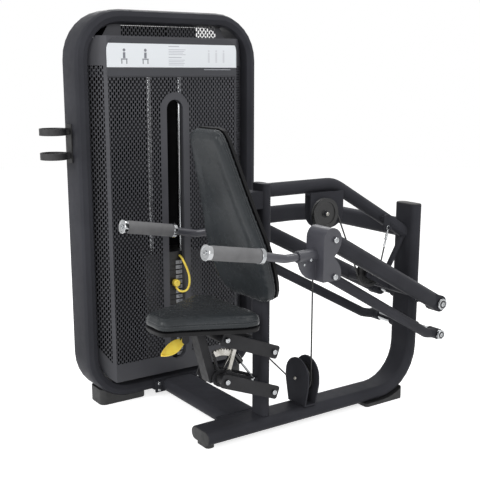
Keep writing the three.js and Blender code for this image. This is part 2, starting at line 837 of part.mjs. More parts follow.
addNode('seat_post', join(
  slab(obround(seatPostDepth, seatPostWidth, [seatPostX, beamY]), 'z', beamTop + clearance, seatPostTop, 3),
  ...seatPivots.map((z) => seatPivot(seatPostX, z)),
  strutEars(seatPostX, strutFootZ, strutFootX, strutFootZ),
  backBracket(backBracketUpperZ),
  backBracket(backBracketLowerZ),
), 'frame');

// Pulleys: a grooved rim, a thin web and a hub that runs between its cheeks
function pulley(name, axis, centre, radius, groove, hubHalf, facets = 20) {
  const rim = pulleyWidth / 2;
  const seat = groove - cableRadius - cableSeatGap;
  const lip = (radius - seat) / 2;
  const half = pulleyWeb / 2;
  const inside = (pulleyBoltRadius + clearance) / Math.cos(Math.PI / facets);
  const profile = [
    [inside, -hubHalf], [pulleyHubRadius, -hubHalf], [pulleyHubRadius, -half],
    [seat - lip, -half], [seat - lip, -rim], [radius, -rim], [seat, -cableRadius], [seat, cableRadius],
    [radius, rim], [seat - lip, rim], [seat - lip, half], [pulleyHubRadius, half],
    [pulleyHubRadius, hubHalf], [inside, hubHalf], [inside, -hubHalf],
  ];
  addNode(name, turned(profile, axis, centre, facets), 'iron');
}

// Hanger under the top tube: two plates and the bridge between them
const hangerPlates = around(beamY - topTubeRadius, hangerGapY / 2 + hangerPlate);
const hangerNear = hangerPlates[0];
const hangerX = upperPulleyAcross + hangerShift;
const hangerBridgeTop = topTubeZ - topTubeRadius - clearance;
const hangerShape = tongue(hangerX, hangerWidth, hangerTop, hangerBottom, hangerCorner);
const upperHubHalf = hangerNear - cablePlaneY - clearance;
addNode('pulley_hanger', cut(join(
  slab(hangerShape, 'y', hangerNear, hangerNear + hangerPlate, 4),
  slab(hangerShape, 'y', hangerPlates[1] - hangerPlate, hangerPlates[1], 4),
  block(around(hangerX, hangerWidth / 2), hangerPlates, [hangerBridgeTop - hangerPlate, hangerBridgeTop]),
  bar('y', pulleyBoltRadius, cablePlaneY - upperHubHalf - boltHeadHeight, hangerNear + hangerPlate / 2,
    [upperPulleyAcross, upperPulleyZ], 12),
  bar('y', pulleyBoltRadius + pulleyWeb / 2, cablePlaneY - upperHubHalf - boltHeadHeight,
    cablePlaneY - upperHubHalf - clearance, [upperPulleyAcross, upperPulleyZ], 6),
), topTubeSolid(clearance)), 'frame');
pulley('upper_pulley', 'y', at(upperPulleyAcross, cablePlaneY, upperPulleyZ),
  pulleyRadius, pulleyGroove, upperHubHalf);

// Lower pulley between two tall plates on the side beam
const bracketShape = new THREE.Shape();
const bracketCap = bracketTop - bracketHalfWidth;
bracketShape.moveTo(beamY - bracketFootHalf, beamTop + clearance);
bracketShape.lineTo(beamY + bracketFootHalf, beamTop + clearance);
bracketShape.lineTo(beamY + bracketHalfWidth, bracketShoulderZ);
bracketShape.absarc(beamY, bracketCap, bracketHalfWidth, 0, Math.PI);
bracketShape.lineTo(beamY - bracketHalfWidth, bracketShoulderZ);
bracketShape.closePath();
const bracketSides = around(lowerPulleyX, bracketGap / 2 + hangerPlate);
addNode('lower_pulley_bracket', join(
  slab(bracketShape, 'x', bracketSides[0], bracketSides[0] + hangerPlate, 6),
  slab(bracketShape, 'x', bracketSides[1] - hangerPlate, bracketSides[1], 6),
  block(bracketSides, around(beamY, bracketFootHalf),
    [beamTop + clearance, beamTop + clearance + bracketBase]),
  bar('x', pulleyBoltRadius, bracketSides[0] - boltHeadHeight, bracketSides[1] + boltHeadHeight,
    [lowerPulleyY, lowerPulleyZ], 12),
), 'frame');
pulley('lower_pulley', 'x', at(lowerPulleyX, lowerPulleyY, lowerPulleyZ),
  pulleyRadius, pulleyGroove, bracketGap / 2 - clearance);

// Front shroud: a folded sheet with a slot for the selector pin, a slot for the cable
// and a hood panel that stands back above the placard
const shroudHalf = shroudFlat / 2;
const shroudEdge = hoopWidth / 2 - hoopTube - clearance;
const foldEnd = shroudPlane + shroudFoldDepth;
function foldedSheet(inset) {
  return [
    [-shroudEdge + inset, foldEnd + shroudFlange], [-shroudEdge + inset, foldEnd + inset / 2],
    [-shroudHalf + inset / 2, shroudPlane + inset], [shroudHalf - inset / 2, shroudPlane + inset],
    [shroudEdge - inset, foldEnd + inset / 2], [shroudEdge - inset, foldEnd + shroudFlange],
  ].map(([x, y]) => new THREE.Vector2(towerX + x, y));
}
const sheetProfile = new THREE.Shape([...foldedSheet(0), ...foldedSheet(sheetThickness).reverse()]);
const slotMiddle = (slotBottom + slotTop) / 2;
const slotOutline = (inset) =>
  obround(slotWidth - 2 * inset, slotTop - slotBottom - 2 * inset, [towerX, slotMiddle]);
const slotRing = slotOutline(0);
slotRing.holes.push(slotOutline(sheetThickness));
const hoodShape = new THREE.Shape([
  [-hoodHalfBottom, shroudTop - sheetThickness], [hoodHalfBottom, shroudTop - sheetThickness],
  [hoodHalfTop, hoopTop - hoopTube - clearance], [-hoodHalfTop, hoopTop - hoopTube - clearance],
].map(([x, z]) => new THREE.Vector2(towerX + x, z)));
const insideHoop = slab(hoopOutline(hoopTube + clearance), 'y',
  shroudPlane - overrun, hoopNear + hoopDepth, hoopFacets);
const cableSlotZ = lowerLeavePoint[1] + (shroudPlane - lowerLeavePoint[0]) * lowerCableSlope;
addNode('front_shroud', cut(join(
  slab(sheetProfile, 'z', shroudBottom, shroudTop),
  slab(slotRing, 'y', shroudPlane, shroudPlane + slotReturn, 4),
  block(around(towerX, shroudHalf), [shroudPlane, hoodPlane], [shroudTop - sheetThickness, shroudTop]),
  slab(hoodShape, 'y', hoodPlane - sheetThickness, hoodPlane),
).intersect(insideHoop),
slab(slotOutline(sheetThickness), 'y', shroudPlane - overrun, shroudPlane + overrun, 4),
slab(obround(cableSlotWidth, cableSlotHeight, [lowerPulleyX, cableSlotZ]), 'y',
  shroudPlane - overrun, shroudPlane + overrun, 2),
), 'sheet');

// Rear shroud with folded edges and a raised tab behind the hood
const rearProfile = new THREE.Shape([
  [-shroudEdge, rearPlane - shroudFlange], [-shroudEdge, rearPlane], [shroudEdge, rearPlane],
  [shroudEdge, rearPlane - shroudFlange], [shroudEdge - sheetThickness, rearPlane - shroudFlange],
  [shroudEdge - sheetThickness, rearPlane - sheetThickness],
  [-shroudEdge + sheetThickness, rearPlane - sheetThickness],
  [-shroudEdge + sheetThickness, rearPlane - shroudFlange],
].map(([x, y]) => new THREE.Vector2(towerX + x, y)));
addNode('rear_shroud', join(
  slab(rearProfile, 'z', shroudBottom, rearShroudTop),
  block([towerX - rearTabLeft, towerX + rearTabRight], [rearPlane - sheetThickness, rearPlane],
    [rearShroudTop - overrun, hoopTop]),
).intersect(insideHoop), 'sheet');

// Placard in front of the shroud's plain top
addNode('placard', slab(
  tongue(towerX, placardWidth, placardBottom, placardBottom + placardHeight, placardCorner), 'y',
  shroudPlane - clearance - placardThickness, shroudPlane - clearance, 4), 'face');

// Stack base with a rubber-topped bumper round each guide rod
const rodPlaces = sides.map(([side, sign]) => [side, towerX + (sign * guideSpacing) / 2]);
const stackBaseTop = hoopFloor + clearance + stackBaseHeight;
addNode('stack_base', cut(
  join(
    block(around(towerX, plateWidth / 2), around(towerY, stackBaseDepth / 2),
      [hoopFloor + clearance, stackBaseTop]),
    ...rodPlaces.map(([, x]) =>
      bar('z', stackBumperRadius, stackBaseTop - overrun, stackBottom - clearance, [x, towerY])),
  ),
  ...rodPlaces.map(([, x]) =>
    bore('z', guideRadius, stackBaseTop, stackBottom + overrun, [x, towerY], 12)),
), 'frame');
for (const [side, x] of rodPlaces) {
  addNode(`guide_rod_${side}`,
    bar('z', guideRadius, stackBaseTop + clearance, crossmemberBottom - clearance, [x, towerY], 16), 'chrome');
}

// Crossmember that holds the rods' tops and the two pulleys above the stack
const crossmemberTop = crossmemberBottom + crossmemberHeight;
const cheekShape = linkShape([innerTopX, topPulleyZ], [outerTopX, topPulleyZ], pulleyHubRadius + overrun);
const cheekFoot = (x) => block(around(x, pulleyHubRadius), [towerY - cheekGap / 2 - cheekThickness,
  towerY + cheekGap / 2 + cheekThickness], [crossmemberBottom, topPulleyZ]);
const cheeks = cut(
  join(slab(cheekShape, 'y', ...around(towerY, cheekGap / 2 + cheekThickness), 3),
    cheekFoot(innerTopX), cheekFoot(outerTopX)),
  block([innerTopX - pulleyRadius, outerTopX + pulleyRadius], around(towerY, cheekGap / 2),
    [crossmemberTop, topPulleyZ + pulleyRadius]),
);
addNode('top_crossmember', cut(
  join(
    block(around(towerX, shroudEdge - sheetThickness - clearance), around(towerY, crossmemberDepth / 2),
      [crossmemberBottom, crossmemberTop]),
    cheeks,
    ...[innerTopX, outerTopX].map((x) =>
      bar('y', pulleyBoltRadius, ...around(towerY, cheekGap / 2 + cheekThickness / 2), [x, topPulleyZ], 10)),
  ),
  ...[towerX, lowerPulleyX].map((x) =>
    bar('z', cableRadius * 3, crossmemberBottom - overrun, crossmemberTop + overrun, [x, towerY], 12)),
), 'frame');
const topHubHalf = cheekGap / 2 - clearance;
pulley('top_pulley_inner', 'y', at(innerTopX, towerY, topPulleyZ),
  smallPulleyRadius, smallPulleyGroove, topHubHalf, 10);
pulley('top_pulley_outer', 'y', at(outerTopX, towerY, topPulleyZ),
  smallPulleyRadius, smallPulleyGroove, topHubHalf, 10);
pulley('tower_pulley', 'x', at(lowerPulleyX, towerPulleyY, towerPulleyZ),
  smallPulleyRadius, smallPulleyGroove, pulleyWidth / 2, 10);

// Weight stack: a head plate with its selector stem, the plates that the pin has picked
// up, and the plates left below
const stackTop = stackBottom + plateCount * platePitch;
const plateThickness = platePitch - clearance;
const pinZ = stackTop - liftedCount * platePitch + plateThickness / 2;
const stackNear = towerY - plateDepth / 2;
function stackHoles(z0, z1) {
  return [
    bore('z', stemRadius + rodPlay, z0 - overrun, z1 + overrun, [towerX, towerY]),
    ...rodPlaces.map(([, x]) => bore('z', guideRadius + rodPlay, z0 - overrun, z1 + overrun, [x, towerY])),
  ];
}
function stackBlock(z0, z1) {
  return slab(roundedRect(plateWidth, plateDepth, plateCorner, [towerX, towerY]), 'z', z0, z1, 1);
}
const pinHole = bore('y', pinRadius, stackNear - overrun, towerY + stemRadius + overrun, [towerX, pinZ], 8);
const headHoles = rodPlaces.map(([, x]) =>
  bore('z', guideRadius + rodPlay, stackTop - overrun, stackTop + plateWidth, [x, towerY]));
addNode('head_plate', cut(
  join(
    stackBlock(stackTop + clearance, stackTop + headPlateThickness),
    bar('z', stemRadius, stackTop + headPlateThickness - stemLength, stackTop + headPlateThickness
      + stemTopHeight, [towerX, towerY], 12),
  ),
  ...headHoles, pinHole,
), 'iron');
for (let index = 1; index <= liftedCount; index += 1) {
  const foot = stackTop - index * platePitch;
  const plate = cut(stackBlock(foot, foot + plateThickness), ...stackHoles(foot, foot + plateThickness));
  addNode(`weight_plate_${index}`, index === liftedCount ? cut(plate, pinHole) : plate, 'iron');
}
const restTop = stackTop - liftedCount * platePitch - clearance;
const grooves = Array.from({ length: plateCount - liftedCount - 1 }, (_, index) => {
  const z = stackBottom + (index + 1) * platePitch;
  return block(around(towerX, plateWidth), [stackNear - overrun, stackNear + plateGrooveDepth],
    around(z, plateGroove / 2));
});
addNode('weight_plates_rest', cut(
  stackBlock(stackBottom, restTop), ...stackHoles(stackBottom, restTop), ...grooves), 'iron');

// Selector pin with its round knob
const knobRear = stackNear - clearance;
const pinEnd = towerY + stemRadius / 2;
addNode('selector_pin', join(
  bar('y', pinRadius, knobRear - pinKnobLength / 2, pinEnd, [towerX, pinZ], 8),
  turned([
    [0, -pinKnobLength / 2], [pinKnobRadius - pinTabThickness, -pinKnobLength / 2],
    [pinKnobRadius, -pinKnobLength / 3], [pinKnobRadius, pinKnobLength / 4],
    [pinRadius * 2, pinKnobLength / 2], [0, pinKnobLength / 2],
  ], 'y', at(towerX, knobRear - pinKnobLength / 2, pinZ), 14),
), 'yellow');

// Bottle holder: a back plate on the hoop, a ring above and a cup ring with a floor below
const holderPlateX = towerX - hoopWidth / 2 - clearance - bottlePlateThickness;
const bottleX = holderPlateX - bottleGap - bottleRingOuter;
const ringInner = bottleRingOuter - bottleRingWall;
const bottleTab = (z) => block([bottleX + ringInner + bottleRingWall / 2, holderPlateX + overrun / 4],
  around(bottleY, bottleTabWidth / 2), [z, z + bottleRingHeight]);
addNode('bottle_holder', join(
  block([holderPlateX, holderPlateX + bottlePlateThickness], around(bottleY, bottlePlateWidth / 2),
    [bottlePlateBottom, bottlePlateTop]),
  turned([[ringInner, 0], [bottleRingOuter, 0], [bottleRingOuter, bottleRingHeight],
    [ringInner, bottleRingHeight], [ringInner, 0]], 'z', at(bottleX, bottleY, bottleRingUpper), 24),
  turned([[0, 0], [bottleRingOuter, 0], [bottleRingOuter, bottleRingHeight],
    [ringInner, bottleRingHeight], [ringInner, bottleFloor], [0, bottleFloor]],
  'z', at(bottleX, bottleY, bottleRingLower), 24),
  bottleTab(bottleRingUpper), bottleTab(bottleRingLower),
), 'plastic');

// Axles of the press arms, with a spacer on each side of the post and a bright end cap
const armInnerHalf = armRearHalf - armEyeInner;
function armAxle(name, z, capRadius) {
  const capFrom = armFlatHalf + clearance;
  addNode(name, join(
    bar('y', axleRadius, ...around(beamY, armFlatHalf + axleCapHeight / 2), [postX, z], 12),
    ...[-1, 1].flatMap((sign) => {
      const spacer = [beamY + sign * (collarHalf + clearance), beamY + sign * (armInnerHalf - clearance)];
      const cap = [beamY + sign * capFrom, beamY + sign * (capFrom + axleCapHeight)];
      return [
        bar('y', axleRadius + axleCapHeight / 2, Math.min(...spacer), Math.max(...spacer), [postX, z], 12),
        bar('y', capRadius, Math.min(...cap), Math.max(...cap), [postX, z], 16),
      ];
    }),
  ), 'chrome');
}
armAxle('upper_axle', armRearZ, axleCapRadius);
armAxle('lower_axle', armRearZ - armPivotDrop, lowerCapRadius);

// A hub about a pivot line, between two distances from the machine's middle plane
function sideBar(sign, radius, innerHalf, outerHalf, place, facets, make = bar) {
  const limits = [beamY + sign * innerHalf, beamY + sign * outerHalf];
  return make('y', radius, Math.min(...limits), Math.max(...limits), place, facets);
}
const carrierInner = armFrontHalf - carrierWidth / 2 + carrierWall;
const carrierOuter = armFrontHalf + carrierWidth / 2 - carrierWall;
const frontHub = [carrierInner + clearance, carrierOuter - clearance];
function armBores(sign, frontZ, rearZ) {
  return [
    sideBar(sign, carrierPinRadius, carrierInner - overrun, carrierOuter + overrun,
      [armFrontX, frontZ], 10, bore),
    sideBar(sign, axleRadius, armInnerHalf - overrun, armFlatHalf + overrun, [postX, rearZ], 12, bore),
  ];
}
const spotFace = (sign, rearZ) => {
  const limits = [beamY + sign * armFlatHalf, beamY + sign * (armFlatHalf + armTubeRadius)];
  return block(around(postX, armEyeRadius + overrun), [Math.min(...limits), Math.max(...limits)],
    around(rearZ, armEyeRadius + overrun));
};

// Press arm: the two upper tubes, the cross tube between them and the yoke of the
// moving pulley
const [movingX, movingZ] = armPoint(movingPulleyShift);
const movingHubHalf = pulleyWidth / 2 + yokeGap - clearance;
const yokeFaces = [pulleyWidth / 2 + yokeGap, pulleyWidth / 2 + yokeGap + yokePlate];
const armHalfAt = (shift) => armRearHalf + ((armFrontHalf - armRearHalf) * shift) / armLength;
const upperTubes = sides.map(([, sign]) => cut(
  join(
    strutBetween(at(postX, beamY + sign * armRearHalf, armRearZ),
      at(armFrontX, beamY + sign * armFrontHalf, armFrontZ), armTubeRadius, 16),
    sideBar(sign, armEyeRadius, armInnerHalf, armFlatHalf, [postX, armRearZ], 18),
    sideBar(sign, armHubRadius, ...frontHub, [armFrontX, armFrontZ], 14),
  ),
  spotFace(sign, armRearZ), ...armBores(sign, armFrontZ, armRearZ),
));
const yokeShape = plateShape([crossX, crossZ], [movingX, movingZ], yokeHeight, yokeHeight / 2, yokeCorner);
addNode('press_arm', join(
  ...upperTubes,
  bar('y', crossTubeRadius, ...around(beamY, armHalfAt(crossTubeShift)), [crossX, crossZ], 14),
  slab(yokeShape, 'y', cablePlaneY - yokeFaces[1], cablePlaneY - yokeFaces[0]),
  slab(yokeShape, 'y', cablePlaneY + yokeFaces[0], cablePlaneY + yokeFaces[1]),
  bar('y', pulleyBoltRadius, ...around(cablePlaneY, yokeFaces[1] + boltHeadHeight), [movingX, movingZ], 10),
), 'frame');
pulley('moving_pulley', 'y', at(movingX, cablePlaneY, movingZ), pulleyRadius, pulleyGroove, movingHubHalf);

// Lower arms, each with the kink that brings it level at the axle
const lowerRearZ = armRearZ - armPivotDrop;
const lowerFrontZ = armFrontZ - armPivotDrop;
for (const [side, sign] of sides) {
  const path = bentPath([
    at(armFrontX, beamY + sign * armFrontHalf, lowerFrontZ),
    at(postX - lowerKinkLength, beamY + sign * armHalfAt(lowerKinkLength), lowerRearZ + lowerKinkDrop),
    at(postX, beamY + sign * armRearHalf, lowerRearZ),
  ], lowerKinkBend, 3);
  addNode(`lower_arm_${side}`, cut(
    join(
      roundTube(path, lowerTubeRadius, 12),
      sideBar(sign, lowerEyeRadius, armInnerHalf, armFlatHalf, [postX, lowerRearZ], 14),
      sideBar(sign, lowerHubRadius, ...frontHub, [armFrontX, lowerFrontZ], 12),
    ),
    spotFace(sign, lowerRearZ), ...armBores(sign, lowerFrontZ, lowerRearZ),
  ), 'frame');
}

// Carriers: a channel open at the back with a rounded head, pins for both arms, the
// handle's sleeve and the gusset under it
function carrierOutline(inset, rear) {
  const front = carrierFront + inset;
  const headX = (carrierFront + armFrontX + (armFrontX - carrierFront) / 2) / 2;
  const shape = new THREE.Shape();
  shape.moveTo(front, carrierBottom - (inset > 0 ? overrun : 0));
  shape.lineTo(front, armFrontZ);
  shape.absellipse(headX, armFrontZ, headX - front, carrierTop - inset - armFrontZ, Math.PI, Math.PI / 2, true);
  rear(shape, headX);
  shape.closePath();
  return shape;
}
const carrierSide = carrierOutline(0, (shape, headX) => {
  const ear = carrierRear - armFrontX;
  shape.absellipse(headX, armFrontZ, carrierRear - headX, carrierTop - armFrontZ, Math.PI / 2, 0, true);
  shape.quadraticCurveTo(carrierRear, armFrontZ - ear, carrierWaistX, carrierWaistZ);
  shape.quadraticCurveTo(carrierRear, carrierWaistZ - ear, carrierRear, lowerFrontZ + ear / 2);
  shape.lineTo(carrierRear, lowerFrontZ);
  shape.quadraticCurveTo(carrierRear, carrierBottom, carrierRear - ear / 2, carrierBottom);
});
const carrierHollow = carrierOutline(carrierWall, (shape, headX) => {
  shape.lineTo(headX + carrierWall, carrierTop - carrierWall);
  shape.lineTo(headX + carrierWall, carrierTop + overrun);
  shape.lineTo(carrierRear + overrun, carrierTop + overrun);
  shape.lineTo(carrierRear + overrun, carrierBottom - overrun);
});
const gussetShape = new THREE.Shape();
gussetShape.moveTo(carrierFront + carrierWall / 2, handleZ);
gussetShape.lineTo(sleeveFront + overrun / 4, handleZ);
gussetShape.absellipse(carrierFront, handleZ, carrierFront - sleeveFront - overrun / 4,
  gussetRadius, Math.PI, Math.PI * 1.5);
gussetShape.lineTo(carrierFront + carrierWall / 2, handleZ - gussetRadius);
gussetShape.closePath();
for (const [side, sign] of sides) {
  const middle = beamY + sign * armFrontHalf;
  const pins = [armFrontZ, lowerFrontZ].flatMap((z) => [
    bar('y', carrierPinRadius, ...around(middle, carrierWidth / 2), [armFrontX, z], 10),
    bar('y', carrierPinHead, middle - carrierWidth / 2 - carrierHeadHeight,
      middle - carrierWidth / 2 + carrierWall / 2, [armFrontX, z], 6),
    bar('y', carrierPinHead, middle + carrierWidth / 2 - carrierWall / 2,
      middle + carrierWidth / 2 + carrierHeadHeight, [armFrontX, z], 6),
  ]);
  const shell = cut(
    slab(carrierSide, 'y', ...around(middle, carrierWidth / 2), 3),
    slab(carrierHollow, 'y', ...around(middle, carrierWidth / 2 - carrierWall), 3),
  );
  addNode(`carrier_${side}`, cut(
    join(shell, ...pins, slab(gussetShape, 'y', ...around(middle, gussetThickness / 2), 3),
      bar('x', sleeveRadius, sleeveFront, carrierFront + carrierWall / 2, [middle, handleZ], 16)),
    bore('x', handleRadius, sleeveFront - overrun, carrierFront - clearance, [middle, handleZ], 14),
  ), 'frame');
}

// Handles: a bent rod with a collar and an end cap, and the rubber grip between them
const gripSlope = gripRise / (gripRearX - gripFrontX);
for (const [side, sign] of sides) {
  const y = beamY + sign * armFrontHalf;
  const gripRear = at(gripRearX, y, gripRearZ);
  const gripFront = at(gripFrontX, y, gripRearZ + gripRise);
  const along = gripFront.clone().sub(gripRear).normalize();
  const ahead = (point, distance) => point.clone().addScaledVector(along, distance);
  const rod = roundTube(bentPath([
    at(carrierFront - 2 * clearance, y, handleZ), at(sleeveFront - handleLead, y, handleZ),
    at(gripRearX + gripLead, y, gripRearZ - gripLead * gripSlope), ahead(gripFront, gripCapLength / 2),
  ], handleBend, 2), handleRadius, 12);
  addNode(`handle_${side}`, join(
    rod,
    strutBetween(ahead(gripRear, -gripCollarLength), ahead(gripRear, -clearance), gripCapRadius, 12),
    strutBetween(ahead(gripFront, clearance), ahead(gripFront, gripCapLength), gripCapRadius, 12),
  ), 'frame');
  addNode(`grip_${side}`, cut(
    strutBetween(gripRear, gripFront, gripRadius, 16),
    strutBetween(ahead(gripRear, -overrun), ahead(gripFront, overrun), gripBore, 14),
  ), 'rubber');
}

// Seat linkage: upper and lower links of equal length, each two side plates and a tie
const seatFrontX = seatPostX - seatReach;
const linkHeights = [seatRearUpperZ, seatRearUpperZ - seatPivotDrop];
const linkTie = (rearZ) => [seatPostX - seatReach / 2, rearZ + seatRise / 2];
function seatLink(rearZ) {
  const shape = plateShape([seatPostX, rearZ], [seatFrontX, rearZ + seatRise], linkHeight,
    linkOverhang, linkCorner);
  return cut(
    join(
      slab(shape, 'y', beamY - linkOuterHalf, beamY - linkInnerHalf, 3),
      slab(shape, 'y', beamY + linkInnerHalf, beamY + linkOuterHalf, 3),
      bar('y', linkTieRadius, ...around(beamY, linkOuterHalf - linkPlate / 2), linkTie(rearZ), 10),
    ),
    ...[[seatPostX, rearZ], [seatFrontX, rearZ + seatRise]].map((place) =>
      bore('y', seatBoltRadius, ...around(beamY, linkOuterHalf + overrun), place, 8)),
  );
}
addNode('upper_link', seatLink(linkHeights[0]), 'frame');

// The lower link also carries the toothed quadrant that the latch works on
const quadrantCentre = [seatFrontX, linkHeights[1] + seatRise];
const quadrantNear = beamY - carriageBarWidth / 2 - quadrantGap - quadrantThickness;
function quadrantShape() {
  const [cx, cz] = quadrantCentre;
  const points = [];
  const steps = quadrantTeeth * 4;
  for (let step = 0; step <= steps; step += 1) {
    const angle = radians(quadrantFrom + ((quadrantTo - quadrantFrom) * step) / steps);
    const radius = quadrantRadius - (step % 4 > 1 ? toothDepth : 0);
    points.push(new THREE.Vector2(cx + radius * Math.cos(angle), cz + radius * Math.sin(angle)));
  }
  for (const degrees of [quadrantTo, quadrantFrom]) {
    const angle = radians(degrees);
    points.push(new THREE.Vector2(cx + seatBossRadius * Math.cos(angle), cz + seatBossRadius * Math.sin(angle)));
  }
  return new THREE.Shape(points);
}
const quadrantPlate = (shape) => slab(shape, 'y', quadrantNear, quadrantNear + quadrantThickness, 3);
const quadrantWindow = new THREE.Shape();
const windowRadius = quadrantRadius - quadrantRim;
quadrantWindow.absarc(...quadrantCentre, windowRadius, radians(quadrantFrom + windowMargin),
  radians(quadrantTo - windowMargin));
quadrantWindow.absarc(...quadrantCentre, seatBossRadius * 2, radians(quadrantTo - windowMargin * 2),
  radians(quadrantFrom + windowMargin * 2), true);
quadrantWindow.closePath();
addNode('lower_link', cut(
  join(
    seatLink(linkHeights[1]),
    quadrantPlate(quadrantShape()),
    quadrantPlate(linkShape(quadrantCentre, linkTie(linkHeights[1]), seatBossRadius + quadrantHub)),
  ),
  slab(quadrantWindow, 'y', quadrantNear - overrun, quadrantNear + quadrantThickness + overrun, 4),
  bore('y', seatBossRadius, quadrantNear - overrun, quadrantNear + quadrantThickness + overrun,
    quadrantCentre, 14),
), 'frame');

// Seat carriage: the slanted bar, the seat's top plate, both front pivots, and the ears
// of the gas strut, the latch and the seat lever
const seatPlateTop = seatBase - clearance;
const seatPlateBottom = seatPlateTop - seatPlateThickness;
const upperFrontZ = linkHeights[0] + seatRise;
const latchNear = quadrantNear - clearance * 2 - latchThickness;
const latchEarFar = quadrantNear - clearance * 2 - latchThickness - clearance;
const leverEar = (sign) => {
  const limits = [beamY + sign * (leverHalf + clearance), beamY + sign * (leverHalf + clearance + linkPlate)];
  return slab(tongue(leverPivotX, leverEarWidth, seatPlateBottom + clearance,
    leverPivotZ - leverEarWidth / 2, leverEarWidth / 2), 'y', Math.min(...limits), Math.max(...limits), 2);
};
addNode('seat_carriage', join(
  slab(plateShape([carriageFootX, carriageFootZ], [carriageTopX, carriageTopZ], carriageBarDepth,
    carriageBarDepth / 2, linkPlate), 'y', ...around(beamY, carriageBarWidth / 2)),
  block([seatPlateFront, seatPlateRear], around(beamY, seatPlateHalf), [seatPlateBottom, seatPlateTop]),
  block([carriageTopX, carriageTopX + carriageBarDepth], around(beamY, carriageBarWidth / 2),
    [carriageTopZ, seatPlateTop - clearance]),
  block(around(seatFrontX, seatBossRadius / 2), around(beamY, seatPlateHalf / 2),
    [upperFrontZ, seatPlateTop - clearance]),
  seatPivot(seatFrontX, upperFrontZ),
  seatPivot(...quadrantCentre),
  strutEars(seatFrontX, upperFrontZ, strutTopX, strutTopZ),
  slab(linkShape(quadrantCentre, [latchX, latchZ], latchEarRadius), 'y',
    latchEarFar - linkPlate, latchEarFar, 2),
  bar('y', strutPinRadius, latchEarFar - linkPlate / 2, latchNear + latchThickness, [latchX, latchZ], 8),
  leverEar(-1), leverEar(1),
  bar('y', strutPinRadius, ...around(beamY, leverHalf + linkPlate / 2), [leverPivotX, leverPivotZ], 8),
), 'frame');

// Latch pawl, its tooth standing just clear of the quadrant's teeth
const toothSpan = radians(quadrantTo - quadrantFrom) / quadrantTeeth;
const pawlAngle = Math.atan2(latchZ - quadrantCentre[1], latchX - quadrantCentre[0]) + radians(pawlLead);
const pawlPoint = (radius) => [
  quadrantCentre[0] + radius * Math.cos(pawlAngle), quadrantCentre[1] + radius * Math.sin(pawlAngle)];
const toothRadius = quadrantRadius + pawlGap;
const toothShape = linkShape(pawlPoint(toothRadius + toothSize), pawlPoint(toothRadius + toothSize * 2), toothSize);
addNode('latch_pawl', cut(
  join(
    slab(linkShape([latchX, latchZ], pawlPoint(toothRadius + toothSize * 2), pawlWidth / 2), 'y',
      latchNear, latchNear + latchThickness, 2),
    slab(toothShape, 'y', latchNear, quadrantNear + quadrantThickness, 1),
  ),
  bore('y', strutPinRadius, latchNear - overrun, latchNear + latchThickness + overrun, [latchX, latchZ], 8),
), 'zinc');

// Seat lever: a leaf-shaped paddle under the front of the seat
const leafShape = new THREE.Shape();
leafShape.moveTo(0, -leverHalf);
leafShape.lineTo(-leafNeck, -leverHalf);
leafShape.bezierCurveTo(-leafLength / 2, -leafWidth / 2, -leafLength, -leafWidth * leafTipShare,
  -leafLength, 0);
leafShape.bezierCurveTo(-leafLength, leafWidth * leafTipShare, -leafLength / 2, leafWidth / 2,
  -leafNeck, leverHalf);
leafShape.lineTo(0, leverHalf);
leafShape.closePath();
const leaf = new THREE.ExtrudeGeometry(leafShape, {
  depth: leafThickness, bevelEnabled: false, curveSegments: 5,
});
leaf.translate(0, 0, -leafThickness / 2).rotateY(-Math.atan2(leafDrop, leafLength));
leaf.translate(leverPivotX, beamY, leverPivotZ);
addNode('seat_lever', cut(
  join(solidOf(leaf), bar('y', leafThickness, ...around(beamY, leverHalf), [leverPivotX, leverPivotZ], 12)),
  bore('y', strutPinRadius, ...around(beamY, leverHalf + overrun), [leverPivotX, leverPivotZ], 8),
), 'yellow');

// Gas strut: the body hangs on the carriage, the rod stands on the seat post
const strutTop = at(strutTopX, beamY, strutTopZ);
const strutFoot = at(strutFootX, beamY, strutFootZ);
const strutAlong = strutFoot.clone().sub(strutTop).normalize();
const downStrut = (distance) => strutTop.clone().addScaledVector(strutAlong, distance);
const upStrut = (distance) => strutFoot.clone().addScaledVector(strutAlong, -distance);
const strutEyeAt = (x, z) => bar('y', strutEye, ...around(beamY, strutEyeHalf), [x, z], 14);
const strutEyeBore = (x, z) =>
  bore('y', strutPinRadius, ...around(beamY, strutEyeHalf + overrun), [x, z], 8);
addNode('gas_cylinder', cut(
  join(strutBetween(downStrut(strutBodyStart), downStrut(strutBodyStart + strutBodyLength), strutOuter, 14),
    strutBetween(downStrut(strutEye / 2), downStrut(strutBodyStart + strutWall / 2), strutEyeHalf * 0.75, 8),
    strutEyeAt(strutTopX, strutTopZ)),
  strutBetween(downStrut(strutBodyStart + strutWall), downStrut(strutBodyStart + strutBodyLength + overrun),
    strutBore, 12),
  strutEyeBore(strutTopX, strutTopZ),
), 'iron');
addNode('gas_rod', cut(
  join(strutBetween(upStrut(strutEye / 2), upStrut(strutRodLength), strutRod, 10),
    strutEyeAt(strutFootX, strutFootZ)),
  strutEyeBore(strutFootX, strutFootZ),
), 'chrome');

